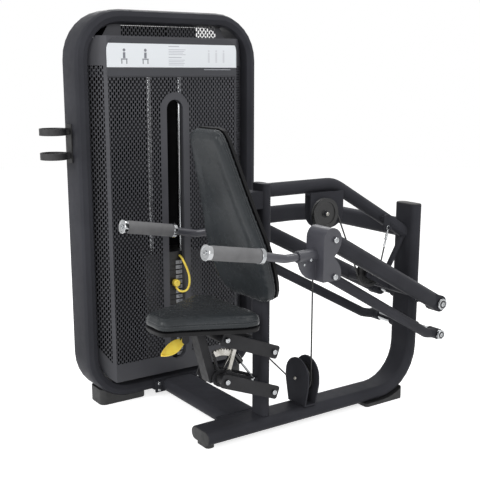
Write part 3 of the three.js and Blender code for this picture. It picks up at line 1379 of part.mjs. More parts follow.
// Cushions: rings of one outline, drawn in by an inset and lifted to a height, then
// closed over a crown
function padGeometry(outline, rings, crownShares, crownHeight, topHeight) {
  const count = outline.length;
  const centre = outline.reduce((sum, point) => sum.add(point), new THREE.Vector2()).divideScalar(count);
  const insetOutline = (inset) => outline.map((point, i) => {
    const before = outline[(i + count - 1) % count];
    const after = outline[(i + 1) % count];
    const run = after.clone().sub(before).normalize();
    return new THREE.Vector2(point.x - run.y * inset, point.y + run.x * inset);
  });
  const levels = rings.map(([inset, height]) => ({ points: insetOutline(inset), height }));
  const edge = levels[levels.length - 1].points;
  for (const share of crownShares) {
    levels.push({
      points: edge.map((point) => point.clone().sub(centre).multiplyScalar(share).add(centre)),
      height: topHeight + crownHeight * (1 - share * share),
    });
  }
  const positions = levels.flatMap(({ points, height }) => points.flatMap(({ x, y }) => [x, y, height]));
  positions.push(centre.x, centre.y, levels[0].height, centre.x, centre.y, topHeight + crownHeight);
  const bottomCentre = levels.length * count;
  const triangles = [];
  for (let i = 0; i < count; i += 1) {
    const next = (i + 1) % count;
    levels.slice(1).forEach((_, level) => {
      const low = level * count;
      const high = low + count;
      triangles.push(low + i, low + next, high + next, low + i, high + next, high + i);
    });
    triangles.push(bottomCentre, next, i);
    const top = bottomCentre - count;
    triangles.push(bottomCentre + 1, top + i, top + next);
  }
  const geometry = new THREE.BufferGeometry();
  geometry.setAttribute('position', new THREE.Float32BufferAttribute(positions, 3));
  geometry.setIndex(triangles);
  return geometry;
}

// An outline along x that is the same on both sides, from shares of its length and of
// its greatest half width
function padOutline(length, halfWidth, widthShares, samples) {
  const edge = new THREE.SplineCurve(widthShares.map(([along, wide]) =>
    new THREE.Vector2(along * length, wide * halfWidth))).getSpacedPoints(samples);
  const mirrored = edge.map(({ x, y }) => new THREE.Vector2(x, -y)).reverse();
  return [...mirrored.reverse(), ...edge.reverse()];
}

// Seat: a plastic base with the cushion on it in one outline
const seatLength = seatRear - seatFront;
const seatCushion = seatTop - seatBase - padCrown;
const seatOutline = padOutline(seatLength, seatHalfWidth, seatWidthShares, 20);
const seatRings = [
  [padEdge * 0.7, 0], [padEdge * 0.4, seatBoard - padSeam], [padEdge * 0.7, seatBoard], [0, seatBoard + padSeam * 2],
  [0, (seatBoard + seatCushion) / 2], [padSeam, seatCushion - padEdge], [padSeam * 2, seatCushion - padEdge + padSeam],
  [padEdge * 0.6, seatCushion - padEdge * 0.3], [padEdge * 1.6, seatCushion],
];
const seatGeometry = padGeometry(seatOutline, seatRings, [0.72, 0.4], padCrown, seatCushion);
seatGeometry.translate(seatFront, beamY, seatBase);
addNode('seat_pad', solidOf(seatGeometry), 'vinyl');

// Backrest: a board behind and the cushion in front, both on the leaning plane
const backLength = (backTop - backBottom) * backNormalRun;
const backOutline = padOutline(backLength, backHalfWidth, backWidthShares, 21);
const backRings = [
  [padEdge * 0.5, 0], [0, padSeam], [0, backPad * 0.45], [padSeam, backPad - padEdge],
  [padSeam * 2, backPad - padEdge + padSeam], [padEdge * 0.6, backPad - padEdge * 0.3],
  [padEdge * 1.8, backPad - padCrown * 0.2],
];
const boardRings = [[padEdge, 0], [padEdge * 0.4, padSeam], [padEdge * 0.4, backBoardThickness - clearance]];
const backFrame = new THREE.Matrix4().makeBasis(
  at(-backSlope, 0, 1).normalize(), at(0, 1, 0), at(-1, 0, -backSlope).normalize());
function onBackPlane(geometry, depth) {
  const foot = at(backPlaneX(backBottom, 0), beamY, backBottom);
  foot.add(at(1, 0, backSlope).normalize().multiplyScalar(depth));
  geometry.applyMatrix4(backFrame).translate(foot.x, foot.y, foot.z);
  return solidOf(geometry);
}
addNode('back_pad', onBackPlane(
  padGeometry(backOutline, backRings, [0.7, 0.35], padCrown * 0.8, backPad - padCrown), backPad), 'vinyl');
addNode('back_board', onBackPlane(
  padGeometry(backOutline, boardRings, [0.9], 0, backBoardThickness - clearance), backDepth), 'board');

// Cables. The main cable runs from the upper pulley down to the lower pulley, back into
// the tower, up to the two top pulleys and ends above the stack
const upperCentre = at(upperPulleyAcross, cablePlaneY, upperPulleyZ);
const movingCentre = at(movingX, cablePlaneY, movingZ);
const span = movingCentre.clone().sub(upperCentre);
const crossAngle = Math.atan2(span.z, span.x) - Math.asin((2 * pulleyGroove) / span.length());
const leaveUpper = crossAngle + Math.PI / 2;
const meetMoving = crossAngle - Math.PI / 2;
const mainStations = [
  ...wrap(upperCentre, pulleyGroove, [axisX, axisZ], leaveUpper, Math.PI),
  ...wrap(at(lowerPulleyX, lowerPulleyY, lowerPulleyZ), pulleyGroove, [axisY, axisZ], Math.PI, lowerLeave, 6),
  ...wrap(at(lowerPulleyX, towerPulleyY, towerPulleyZ), smallPulleyGroove, [axisY, axisZ],
    lowerLeave, Math.PI * 2, 5),
  ...wrap(at(outerTopX, towerY, topPulleyZ), smallPulleyGroove, [axisX, axisZ], 0, Math.PI / 2, 5),
  ...wrap(at(innerTopX, towerY, topPulleyZ), smallPulleyGroove, [axisX, axisZ], Math.PI / 2, Math.PI, 5),
];
addNode('main_cable', cableAlong(mainStations), 'cable');
function cableAlong(stations) {
  return roundTube(new StationPath(stations), cableRadius, 8);
}
const straightRun = (from, to) => {
  const tangent = to.clone().sub(from).normalize();
  return [{ point: from, tangent }, { point: to, tangent }];
};
addNode('stack_cable', cableAlong(straightRun(
  at(towerX, towerY, topPulleyZ - clearance),
  at(towerX, towerY, stackTop + headPlateThickness + stemTopHeight + clearance))), 'cable');

// The arm cable passes under the moving pulley to the turnbuckle on the top tube
const anchor = at(anchorX, cablePlaneY, anchorZ);
const toAnchor = anchor.clone().sub(movingCentre);
const leaveMoving = Math.atan2(toAnchor.z, toAnchor.x) - Math.acos(pulleyGroove / toAnchor.length());
const movingWrap = wrap(movingCentre, pulleyGroove, [axisX, axisZ], meetMoving, leaveMoving);
const upperLeave = wrap(upperCentre, pulleyGroove, [axisX, axisZ], leaveUpper, Math.PI)[0];
const armRope = movingWrap[0].point.clone().sub(upperLeave.point).normalize();
const anchorRope = anchor.clone().sub(movingWrap[movingWrap.length - 1].point).normalize();
addNode('arm_cable', cableAlong([
  { point: upperLeave.point.clone().addScaledVector(armRope, clearance), tangent: armRope },
  ...movingWrap,
  { point: anchor.clone().addScaledVector(anchorRope, -anchorLength - clearance), tangent: anchorRope },
]), 'cable');
addNode('cable_anchor', cut(
  join(
    bar('y', anchorEyeRadius, ...around(cablePlaneY, anchorEyeHalf), [anchorX, anchorZ], 14),
    strutBetween(anchor.clone().addScaledVector(anchorRope, -anchorLength),
      anchor.clone().addScaledVector(anchorRope, -anchorEyeRadius / 2), anchorRadius, 10),
  ),
  bore('y', strutPinRadius, ...around(cablePlaneY, anchorEyeHalf + overrun), [anchorX, anchorZ], 8),
), 'zinc');

// Lanyard of the selector pin, hanging in front of the slot
const lanyardPoints = [
  at(towerX + lanyardSpread / 2, stackNear - lanyardRadius / 2, pinZ + lanyardHeight),
  ...lanyardShares.map(([across, out, up]) => at(
    towerX + across * lanyardSpread, stackNear - out * lanyardReach, pinZ + up * lanyardHeight)),
  at(towerX, knobRear - pinKnobLength / 2, pinZ - pinKnobRadius - lanyardRadius),
];
const lanyardCurve = new THREE.CatmullRomCurve3(lanyardPoints);
const lanyardSteps = 18;
addNode('pin_lanyard', roundTube(new StationPath(Array.from({ length: lanyardSteps + 1 }, (_, step) => ({
  point: lanyardCurve.getPointAt(step / lanyardSteps),
  tangent: lanyardCurve.getTangentAt(step / lanyardSteps),
}))), lanyardRadius, 8), 'yellow');

export default part;
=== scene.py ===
# %% [markdown]
# # Seated dip machine
# A gym machine is mostly painted steel tube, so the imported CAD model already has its
# main shapes. This lesson loads that model as a fixed frame and then dresses it: paint,
# perforated sheet, chrome, rubber and two upholstered pads. Everything is in metres,
# in the frame of the CAD model: +Z is up, the user faces -X and the tower is at +Y.

# %% Load the CAD frame
import math

import bmesh
import bpy
from mathutils import Matrix, Vector
from mathutils.bvhtree import BVHTree


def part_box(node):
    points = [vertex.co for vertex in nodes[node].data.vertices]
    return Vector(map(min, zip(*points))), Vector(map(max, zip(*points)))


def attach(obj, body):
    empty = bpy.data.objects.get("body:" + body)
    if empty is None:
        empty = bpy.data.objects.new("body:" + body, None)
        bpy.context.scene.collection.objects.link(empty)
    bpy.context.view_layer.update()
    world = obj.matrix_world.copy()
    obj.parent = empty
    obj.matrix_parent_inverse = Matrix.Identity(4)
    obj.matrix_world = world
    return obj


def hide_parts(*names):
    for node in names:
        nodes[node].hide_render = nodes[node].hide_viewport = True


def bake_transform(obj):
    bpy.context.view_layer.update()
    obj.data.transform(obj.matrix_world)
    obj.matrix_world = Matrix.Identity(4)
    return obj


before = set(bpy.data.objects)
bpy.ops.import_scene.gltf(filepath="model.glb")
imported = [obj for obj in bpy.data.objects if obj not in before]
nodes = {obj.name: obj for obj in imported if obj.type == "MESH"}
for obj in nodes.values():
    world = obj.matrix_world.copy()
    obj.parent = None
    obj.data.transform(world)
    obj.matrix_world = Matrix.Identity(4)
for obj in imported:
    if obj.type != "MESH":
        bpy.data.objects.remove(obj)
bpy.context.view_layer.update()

# %% [markdown]
# ## Camera and room
# The camera stands where the photographer stood: in front of the machine and to the
# left of the user, a little above the seat. The room is a pale floor that curves into
# nothing, lit by large soft lamps, so that dark paint still shows its form.

# %% Camera
MM = 0.001
SENSOR = 36.0
FOCAL_PX = 861.6
PICTURE_PX = 480
CENTRE_ROW_PX = 261


def look(azimuth, pitch):
    """The rotation of a camera that looks along azimuth and down by pitch, in degrees."""
    return (math.radians(90 - pitch), 0.0, math.radians(azimuth))


lens = bpy.data.cameras.new("camera")
lens.sensor_width = SENSOR
lens.lens = SENSOR * FOCAL_PX / PICTURE_PX
lens.shift_y = (CENTRE_ROW_PX - PICTURE_PX / 2) / PICTURE_PX
lens.clip_end = 60
camera = bpy.data.objects.new("camera", lens)
camera.location = (-1.822, -2.560, 1.273)
camera.rotation_euler = look(-34.4, 12.3)
bpy.context.scene.collection.objects.link(camera)
bpy.context.scene.camera = camera
print("lens:", round(lens.lens, 1), "mm")

# %% Helpers for the room


def link(obj):
    """Puts a new object into the scene and gives it back."""
    bpy.context.scene.collection.objects.link(obj)
    return obj


def seen_directly(tree):
    """1 for the rays that show the background: from the camera, off gloss or through glass."""
    rays = tree.nodes.new("ShaderNodeLightPath")
    total = rays.outputs["Is Camera Ray"]
    for name in ("Is Glossy Ray", "Is Transmission Ray"):
        higher = tree.nodes.new("ShaderNodeMath")
        higher.operation = "MAXIMUM"
        tree.links.new(total, higher.inputs[0])
        tree.links.new(rays.outputs[name], higher.inputs[1])
        total = higher.outputs[0]
    return total


def pale_floor(name, colour, glow):
    """A matt floor that catches shadow, lifted to white for the rays that show it."""
    finish = bpy.data.materials.new(name)
    finish.use_nodes = True
    tree = finish.node_tree
    shader = tree.nodes["Principled BSDF"]
    shader.inputs["Base Color"].default_value = (*colour, 1)
    shader.inputs["Roughness"].default_value = 0.9
    shader.inputs["Specular IOR Level"].default_value = 0.1
    shader.inputs["Emission Color"].default_value = (1, 1, 1, 1)
    lift = tree.nodes.new("ShaderNodeMath")
    lift.operation = "MULTIPLY"
    lift.inputs[1].default_value = glow
    tree.links.new(seen_directly(tree), lift.inputs[0])
    tree.links.new(lift.outputs[0], shader.inputs["Emission Strength"])
    return finish


# %% Floor and world
FLOOR_RADIUS = 9.0

bm = bmesh.new()
bmesh.ops.create_circle(bm, cap_ends=True, segments=96, radius=FLOOR_RADIUS)
floor_mesh = bpy.data.meshes.new("floor")
bm.to_mesh(floor_mesh)
bm.free()
floor = link(bpy.data.objects.new("floor", floor_mesh))
floor.location = (0, 0, -0.0005)
floor.data.materials.append(pale_floor("pale floor", (0.8, 0.8, 0.8), 0.72))

world = bpy.data.worlds.new("studio")
bpy.context.scene.world = world
world.use_nodes = True
sky = world.node_tree
sky.nodes["Background"].inputs["Color"].default_value = (1, 1, 1, 1)
sky.nodes["Background"].inputs["Strength"].default_value = 0.4
white = sky.nodes.new("ShaderNodeBackground")
white.inputs["Color"].default_value = (1, 1, 1, 1)
white.inputs["Strength"].default_value = 1.0
pick = sky.nodes.new("ShaderNodeMixShader")
sky.links.new(seen_directly(sky), pick.inputs[0])
sky.links.new(sky.nodes["Background"].outputs[0], pick.inputs[1])
sky.links.new(white.outputs[0], pick.inputs[2])
sky.links.new(pick.outputs[0], sky.nodes["World Output"].inputs["Surface"])
print("floor and world ready")

# %% Lamps


def lamp(name, size, power, place, target=(0, 0, 0.7)):
    """A square area lamp that faces a point."""
    light = bpy.data.lights.new(name, "AREA")
    light.size = size
    light.energy = power
    obj = link(bpy.data.objects.new(name, light))
    obj.location = place
    obj.rotation_euler = (Vector(target) - Vector(place)).to_track_quat("-Z", "Y").to_euler()
    return obj


lamp("key", 1.8, 33, (0.9, -3.6, 3.3))
lamp("fill", 2.0, 41, (-2.7, -3.0, 1.9))
lamp("side", 1.2, 42, (-3.2, 0.2, 1.9), (-0.4, 0.3, 1.0))
lamp("rim", 2.0, 34, (1.6, 3.2, 3.0))
lamp("top", 1.3, 42, (1.2, -0.3, 3.7))
bpy.context.scene.view_settings.view_transform = "Standard"
print("lamps: 5")

# %% [markdown]
# ## The lanyard
# A yellow cord ties the selector pin to the stack, so that the pin can't get lost. It
# hangs in one loop in front of the slot. It is a curve through the points of its CAD
# solid, bevelled to its thickness. The radius is set on the points, with a bevel of 1,
# because Blender measures a curve's box by the radius of its points.

# %% Lanyard
LANYARD = [(-119, 354.8, 561.9), (-118, 341, 556), (-112, 324, 530), (-101, 317, 495),
           (-97, 316, 462), (-104, 317, 432), (-120, 322, 421), (-136, 330, 424),
           (-144, 342.7, 437.4)]
CORD_THICKNESS = 0.0088


def flowing(points, steps):
    """Points on one smooth line through the given ones."""
    points = [Vector(point) * MM for point in points]
    ends = [points[0] * 2 - points[1]] + points + [points[-1] * 2 - points[-2]]
    line = []
    for a, b, c, d in zip(ends, ends[1:], ends[2:], ends[3:]):
        for step in range(steps):
            t = step / steps
            line.append(0.5 * (2 * b + (c - a) * t + (2 * a - 5 * b + 4 * c - d) * t * t
                               + (3 * b - a - 3 * c + d) * t ** 3))
    return line + [points[-1]]


route = flowing(LANYARD, 4)
cord_line = bpy.data.curves.new("lanyard", "CURVE")
cord_line.dimensions = "3D"
spline = cord_line.splines.new("POLY")
spline.points.add(len(route) - 1)
for spot, point in zip(spline.points, route):
    spot.co = (*point, 1)
    spot.radius = CORD_THICKNESS / 2
cord_line.bevel_depth = 1.0
cord_line.bevel_resolution = 4
cord_line.use_fill_caps = True
lanyard = link(bpy.data.objects.new("lanyard", cord_line))
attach(lanyard, "stack")
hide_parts("pin_lanyard")

# %% [markdown]
# ## Finishes
# Each finish is a small tree of nodes. Object coordinates are in metres here, so a noise
# scale of 900 gives a grain of about a millimetre. Paint, vinyl and rubber all get
# three things: a slight change of colour from place to place, a roughness that is not
# the same everywhere, and a fine relief.

# %% Helpers for node trees


def linear(red, green, blue):
    """A colour as a screen shows it, turned into the linear light that shaders use."""
    return tuple(c / 12.92 if c <= 0.04045 else ((c + 0.055) / 1.055) ** 2.4
                 for c in (red, green, blue))


def shader_of(tree):
    """The Principled shader of a material's tree."""
    return tree.nodes["Principled BSDF"]


def new_finish(name, colour, roughness, metallic=0.0, ior=1.5):
    """A material with plain values on its Principled shader."""
    finish = bpy.data.materials.new(name)
    finish.use_nodes = True
    shader = shader_of(finish.node_tree)
    shader.inputs["Base Color"].default_value = (*linear(*colour), 1)
    shader.inputs["Roughness"].default_value = roughness
    shader.inputs["Metallic"].default_value = metallic
    shader.inputs["IOR"].default_value = ior
    finish.diffuse_color = (*colour, 1)
    return finish


def place_of(tree):
    """The Object coordinates of a tree, made once."""
    if "place" not in tree.nodes:
        tree.nodes.new("ShaderNodeTexCoord").name = "place"
    return tree.nodes["place"].outputs["Object"]


def cloud(tree, scale, detail=3.0, stretch=(1, 1, 1)):
    """A noise value on Object coordinates, stretched along an axis where it is woven."""
    mapping = tree.nodes.new("ShaderNodeMapping")
    mapping.inputs["Scale"].default_value = stretch
    tree.links.new(place_of(tree), mapping.inputs["Vector"])
    texture = tree.nodes.new("ShaderNodeTexNoise")
    texture.inputs["Scale"].default_value = scale
    texture.inputs["Detail"].default_value = detail
    tree.links.new(mapping.outputs[0], texture.inputs["Vector"])
    return texture.outputs[0]


def spread(tree, value, low, high, start=0.3, end=0.7):
    """Maps a value between start and end to low and high."""
    remap = tree.nodes.new("ShaderNodeMapRange")
    for key, number in zip(("From Min", "From Max", "To Min", "To Max"), (start, end, low, high)):
        remap.inputs[key].default_value = number
    tree.links.new(value, remap.inputs["Value"])
    return remap.outputs[0]


def tint(finish, one, other, scale):
    """Lets the colour drift between two close tones."""
    tree = finish.node_tree
    mix = tree.nodes.new("ShaderNodeMix")
    mix.data_type = "RGBA"
    mix.inputs[6].default_value = (*linear(*one), 1)
    mix.inputs[7].default_value = (*linear(*other), 1)
    tree.links.new(spread(tree, cloud(tree, scale), 0, 1, 0.35, 0.65), mix.inputs[0])
    tree.links.new(mix.outputs[2], shader_of(tree).inputs["Base Color"])


def gloss(finish, low, high, scale):
    """Lets the roughness drift between two values."""
    tree = finish.node_tree
    rough = spread(tree, cloud(tree, scale), low, high)
    tree.links.new(rough, shader_of(tree).inputs["Roughness"])


def relief(finish, height, depth, strength):
    """A bump of that depth in metres from a height value of 0 to 1."""
    tree = finish.node_tree
    bump = tree.nodes.new("ShaderNodeBump")
    bump.inputs["Strength"].default_value = strength
    bump.inputs["Distance"].default_value = depth
    tree.links.new(height, bump.inputs["Height"])
    last = shader_of(tree).inputs["Normal"]
    if last.is_linked:
        tree.links.new(last.links[0].from_socket, bump.inputs["Normal"])
    tree.links.new(bump.outputs[0], last)


def grain(finish, scale, detail, depth, strength):
    """A relief of fine noise."""
    relief(finish, cloud(finish.node_tree, scale, detail), depth, strength)


def sums(tree, operation, *values):
    """One Math node; a value is a number or another node's output."""
    made = tree.nodes.new("ShaderNodeMath")
    made.operation = operation
    for socket, value in zip(made.inputs, values):
        if isinstance(value, (int, float)):
            socket.default_value = value
        else:
            tree.links.new(value, socket)
    return made.outputs[0]


def product(tree, *values):
    """All the values multiplied; with masks, 1 where every one of them is 1."""
    total = values[0]
    for value in values[1:]:
        total = sums(tree, "MULTIPLY", total, value)
    return total


def distance(tree, one, other):
    """The length of a step of one value across and the other up."""
    squares = (product(tree, one, one), product(tree, other, other))
    return sums(tree, "SQRT", sums(tree, "ADD", *squares))


print("helpers for finishes ready")

# %% [markdown]
# The frame is powder coated in a charcoal with a fine orange-peel texture. The coat is
# smooth enough to draw a soft line of light along every tube. Chrome, zinc, black
# nylon and rubber follow the same pattern with other numbers.

# %% Paint
powder = new_finish("powder coat", (0.222, 0.224, 0.242), 0.45, ior=1.11)
tint(powder, (0.209, 0.211, 0.228), (0.236, 0.238, 0.257), 5)
gloss(powder, 0.38, 0.52, 40)
grain(powder, 700, 2, 0.00006, 0.5)

# The carriers and handles get a lighter copy of the powder coat: its extra lightness is painted
# light.
carrier_painted_light = new_finish("carrier paint with painted light", (0.262, 0.263, 0.288), 0.36)
tint(carrier_painted_light, (0.251, 0.252, 0.277), (0.276, 0.277, 0.303), 8)
gloss(carrier_painted_light, 0.3, 0.42, 50)
grain(carrier_painted_light, 650, 2, 0.00006, 0.6)

# The links and the seat carriage get a darker copy of the powder coat: its darkness is painted
# shade, where they lie under the seat.
link_painted_shade = new_finish("link paint with painted shade", (0.15, 0.15, 0.158), 0.5, ior=1.3)
tint(link_painted_shade, (0.139, 0.139, 0.147), (0.164, 0.164, 0.173), 12)
gloss(link_painted_shade, 0.42, 0.56, 60)
grain(link_painted_shade, 800, 2, 0.00005, 0.6)
print("paints ready")

# %% Metal
chrome = new_finish("chrome", (0.66, 0.67, 0.68), 0.12, 1.0)
gloss(chrome, 0.08, 0.18, 90)
tint(chrome, (0.62, 0.63, 0.64), (0.7, 0.705, 0.71), 20)

zinc = new_finish("zinc plate", (0.66, 0.65, 0.62), 0.34, 0.9)
tint(zinc, (0.6, 0.59, 0.56), (0.72, 0.71, 0.69), 45)
gloss(zinc, 0.25, 0.42, 120)

iron = new_finish("painted iron", (0.075, 0.075, 0.08), 0.4)
tint(iron, (0.065, 0.065, 0.07), (0.09, 0.09, 0.095), 25)
gloss(iron, 0.34, 0.5, 80)
grain(iron, 300, 3, 0.00012, 0.5)
print("metals ready")

# %% Plastic, rubber and enamel
nylon = new_finish("black nylon", (0.085, 0.085, 0.088), 0.34)
tint(nylon, (0.075, 0.075, 0.078), (0.1, 0.1, 0.104), 30)
gloss(nylon, 0.28, 0.42, 100)

foot_plastic = new_finish("foot plastic", (0.11, 0.11, 0.115), 0.6)
tint(foot_plastic, (0.1, 0.1, 0.105), (0.125, 0.125, 0.13), 18)
gloss(foot_plastic, 0.52, 0.68, 60)
grain(foot_plastic, 900, 2, 0.0001, 0.7)

grip_rubber = new_finish("grip rubber", (0.43, 0.43, 0.435), 0.78)
tint(grip_rubber, (0.41, 0.41, 0.415), (0.455, 0.455, 0.46), 25)
gloss(grip_rubber, 0.7, 0.86, 70)
relief(grip_rubber, cloud(grip_rubber.node_tree, 600, 1, (0.6, 1, 1)), 0.00035, 0.8)

cable_jacket = new_finish("cable jacket", (0.04, 0.04, 0.042), 0.3)
tint(cable_jacket, (0.035, 0.035, 0.037), (0.05, 0.05, 0.052), 60)
gloss(cable_jacket, 0.24, 0.38, 150)

strut_paint = new_finish("strut enamel", (0.05, 0.05, 0.055), 0.22)
tint(strut_paint, (0.045, 0.045, 0.05), (0.06, 0.06, 0.066), 40)
gloss(strut_paint, 0.17, 0.3, 70)

yellow_plastic = new_finish("yellow plastic", (1.0, 0.88, 0.34), 0.35)
tint(yellow_plastic, (0.99, 0.85, 0.3), (1.0, 0.91, 0.4), 30)
gloss(yellow_plastic, 0.28, 0.42, 60)
grain(yellow_plastic, 500, 2, 0.00005, 0.5)

board_plastic = new_finish("board plastic", (0.085, 0.085, 0.09), 0.5, ior=1.25)
tint(board_plastic, (0.075, 0.075, 0.08), (0.1, 0.1, 0.105), 15)
gloss(board_plastic, 0.42, 0.58, 50)
grain(board_plastic, 1000, 2, 0.00008, 0.6)
print("finishes so far:", len(bpy.data.materials))

# %% [markdown]
# The pads are covered in upholstery vinyl. Its grain is a net of small cells pressed
# into the skin, with soft wide creases under it. A little sheen gives the pale bloom
# that vinyl has where it turns away from the eye.

# %% Vinyl
vinyl = new_finish("upholstery vinyl", (0.168, 0.183, 0.193), 0.3, ior=1.3)
tint(vinyl, (0.156, 0.17, 0.18), (0.182, 0.197, 0.208), 7)
gloss(vinyl, 0.22, 0.3, 35)
cells = vinyl.node_tree.nodes.new("ShaderNodeTexVoronoi")
cells.feature = "DISTANCE_TO_EDGE"
cells.inputs["Scale"].default_value = 620
vinyl.node_tree.links.new(place_of(vinyl.node_tree), cells.inputs["Vector"])
relief(vinyl, spread(vinyl.node_tree, cells.outputs[0], 0, 1, 0.0, 0.25), 0.00012, 0.5)
grain(vinyl, 28, 2, 0.0007, 0.35)
shader_of(vinyl.node_tree).inputs["Sheen Weight"].default_value = 0.04
print("vinyl ready")

# %% Seam thread
# The thread is lighter than the vinyl: partly its own pale colour, partly a painted highlight along
# the stitch lines.
thread = new_finish("seam thread with painted highlight", (0.3, 0.31, 0.32), 0.6)
tint(thread, (0.27, 0.28, 0.29), (0.34, 0.35, 0.36), 200)
gloss(thread, 0.6, 0.8, 300)
grain(thread, 900, 1, 0.0002, 0.8)
print("thread ready")

# %% [markdown]
# ## Perforated sheet
# The front cover of the tower is steel sheet with upright slots in staggered rows. Real
# holes would need hundreds of thousands of faces. Here two grids of slots are drawn
# by maths instead, half a pitch apart, and the sheet is see-through inside them, so
# that the guide rods show through it as they do on the real machine. The slots follow
# the sheet round its corners: they are counted along its surface, from the middle.

# %% Slots by maths
SHEET_X = -0.144
SHEET_Y = 0.330
SLOT_PITCH, SLOT_RISE = 0.0168, 0.0207
SLOT_HALF_WIDTH, SLOT_HALF_LENGTH = 0.0036, 0.0073
FLANK_SHARE = 0.39
KEEP_POSITIVE = 50


def staggered(tree, value, pitch, shift):
    """How far a value is from the nearest slot of one grid, along that value."""
    turns = sums(tree, "ADD", sums(tree, "DIVIDE", value, pitch), shift + KEEP_POSITIVE)
    return product(tree, sums(tree, "SUBTRACT", sums(tree, "FRACT", turns), 0.5), pitch)


def slots(tree, across, up):
    """1 inside a slot of a staggered pattern and 0 outside it."""
    near = None
    for shift in (0.0, 0.5):
        du = staggered(tree, across, SLOT_PITCH, shift)
        dv = sums(tree, "ABSOLUTE", staggered(tree, up, SLOT_RISE, shift))
        straight = SLOT_HALF_LENGTH - SLOT_HALF_WIDTH
        over = sums(tree, "MAXIMUM", sums(tree, "SUBTRACT", dv, straight), 0.0)
        far = distance(tree, du, over)
        near = far if near is None else sums(tree, "MINIMUM", near, far)
    return sums(tree, "LESS_THAN", near, SLOT_HALF_WIDTH)


def inside(tree, value, low, high):
    """1 where a value lies between two numbers."""
    above = sums(tree, "GREATER_THAN", value, low)
    return product(tree, above, sums(tree, "LESS_THAN", value, high))


def sheet_finish(name, field):
    """Sheet steel with slots wherever field(tree, across, depth, up, surface) is 1."""
    finish = new_finish(name, (0.27, 0.272, 0.29), 0.42, ior=1.4)
    tint(finish, (0.257, 0.259, 0.277), (0.284, 0.286, 0.304), 4)
    gloss(finish, 0.36, 0.48, 30)
    grain(finish, 700, 2, 0.00005, 0.5)
    tree = finish.node_tree
    parts = tree.nodes.new("ShaderNodeSeparateXYZ")
    tree.links.new(place_of(tree), parts.inputs[0])
    across = sums(tree, "SUBTRACT", parts.outputs[0], SHEET_X)
    deep = sums(tree, "MAXIMUM", sums(tree, "SUBTRACT", parts.outputs[1], SHEET_Y), 0.0)
    surface = sums(tree, "ADD", sums(tree, "ABSOLUTE", across), product(tree, deep, FLANK_SHARE))
    hole = slots(tree, surface, parts.outputs[2])
    hole = product(tree, hole, field(tree, across, deep, parts.outputs[2], surface))
    tree.links.new(sums(tree, "SUBTRACT", 1.0, hole), shader_of(tree).inputs["Alpha"])
    return finish


print("slot pattern ready")

# %% [markdown]
# The slots leave a plain rim along every fold, round the pin slot in the middle of the
# face and along the slanted foot of the flanks. Each of the three fields is a product
# of simple masks, and where a field is 0 the sheet stays whole.

# %% The fields of the front cover
FACE_EDGE = 0.277
FACE_LEVELS = (0.166, 1.258)
PIN_SLOT_TOP, PIN_SLOT_RIM = 1.1395, 0.062
FLANK_EDGES = (0.293, 0.352)
FLANK_LEVELS = (0.15, 1.3)
FOLD, FOOT_SLOPE, FOOT_LEVEL = 0.290, 1.15, 0.17
FRONT_DEPTH, HOOD_DEPTH = 0.0545, 0.0575
HOOD_EDGES, HOOD_LEVEL = (-0.19, 0.225), 1.403


def front_field(tree, across, deep, up, surface):
    """The front cover: its face but for a rim round the pin slot, its flanks and its hood."""
    above = sums(tree, "MAXIMUM", sums(tree, "SUBTRACT", up, PIN_SLOT_TOP), 0.0)
    off_rim = sums(tree, "GREATER_THAN", distance(tree, across, above), PIN_SLOT_RIM)
    face = product(tree, inside(tree, surface, 0.0, FACE_EDGE), off_rim,
                   inside(tree, up, *FACE_LEVELS))
    slant = product(tree, sums(tree, "SUBTRACT", surface, FOLD), FOOT_SLOPE)
    foot = sums(tree, "GREATER_THAN", sums(tree, "SUBTRACT", up, slant), FOOT_LEVEL)
    flank = product(tree, inside(tree, surface, *FLANK_EDGES), inside(tree, up, *FLANK_LEVELS),
                    foot)
    hood = product(tree, sums(tree, "GREATER_THAN", deep, HOOD_DEPTH),
                   inside(tree, across, *HOOD_EDGES), sums(tree, "GREATER_THAN", up, HOOD_LEVEL))
    near = sums(tree, "LESS_THAN", deep, FRONT_DEPTH)
    front = product(tree, sums(tree, "ADD", face, flank), near)
    return sums(tree, "MAXIMUM", front, hood)


front_sheet = sheet_finish("front sheet", front_field)
print("front sheet:", len(front_sheet.node_tree.nodes), "nodes")

# %% [markdown]
# The rear cover is closed sheet: nothing of the room behind shows through the tower.

# %% Rear sheet
rear_sheet = new_finish("rear sheet", (0.06, 0.06, 0.066), 0.6, ior=1.15)
tint(rear_sheet, (0.052, 0.052, 0.058), (0.07, 0.07, 0.076), 4)
gloss(rear_sheet, 0.42, 0.54, 30)
grain(rear_sheet, 700, 2, 0.00005, 0.5)
print("rear sheet ready")

# %% [markdown]
# ## Dressing the CAD nodes
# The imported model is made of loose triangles. On each node a Weld joins them, a small
# Bevel rounds the sharp edges so that they catch light as painted steel does, and
# Weighted Normal keeps the flat faces flat. The meshes themselves stay as they are.

# %% Helpers for dressing
WELD_GAP = 0.00002


def coat(mesh, finish):
    """Gives a mesh one finish and no other."""
    mesh.materials.clear()
    mesh.materials.append(finish)


def shade_smooth(mesh):
    """Shades all the faces of a mesh smoothly."""
    for polygon in mesh.polygons:
        polygon.use_smooth = True


def join(obj):
    """Joins the loose triangles of a CAD node."""
    obj.modifiers.new("join", "WELD").merge_threshold = WELD_GAP


def soft_edges(obj, width, angle):
    """Rounds the edges that are sharper than an angle in degrees."""
    edge = obj.modifiers.new("soft edges", "BEVEL")
    edge.width = width
    edge.segments = 2
    edge.limit_method = "ANGLE"
    edge.angle_limit = math.radians(angle)


print("dressing helpers ready")

# %% Give every CAD node its finish
SHEET_EDGE, TUBE_EDGE = 0.0004, 0.0012

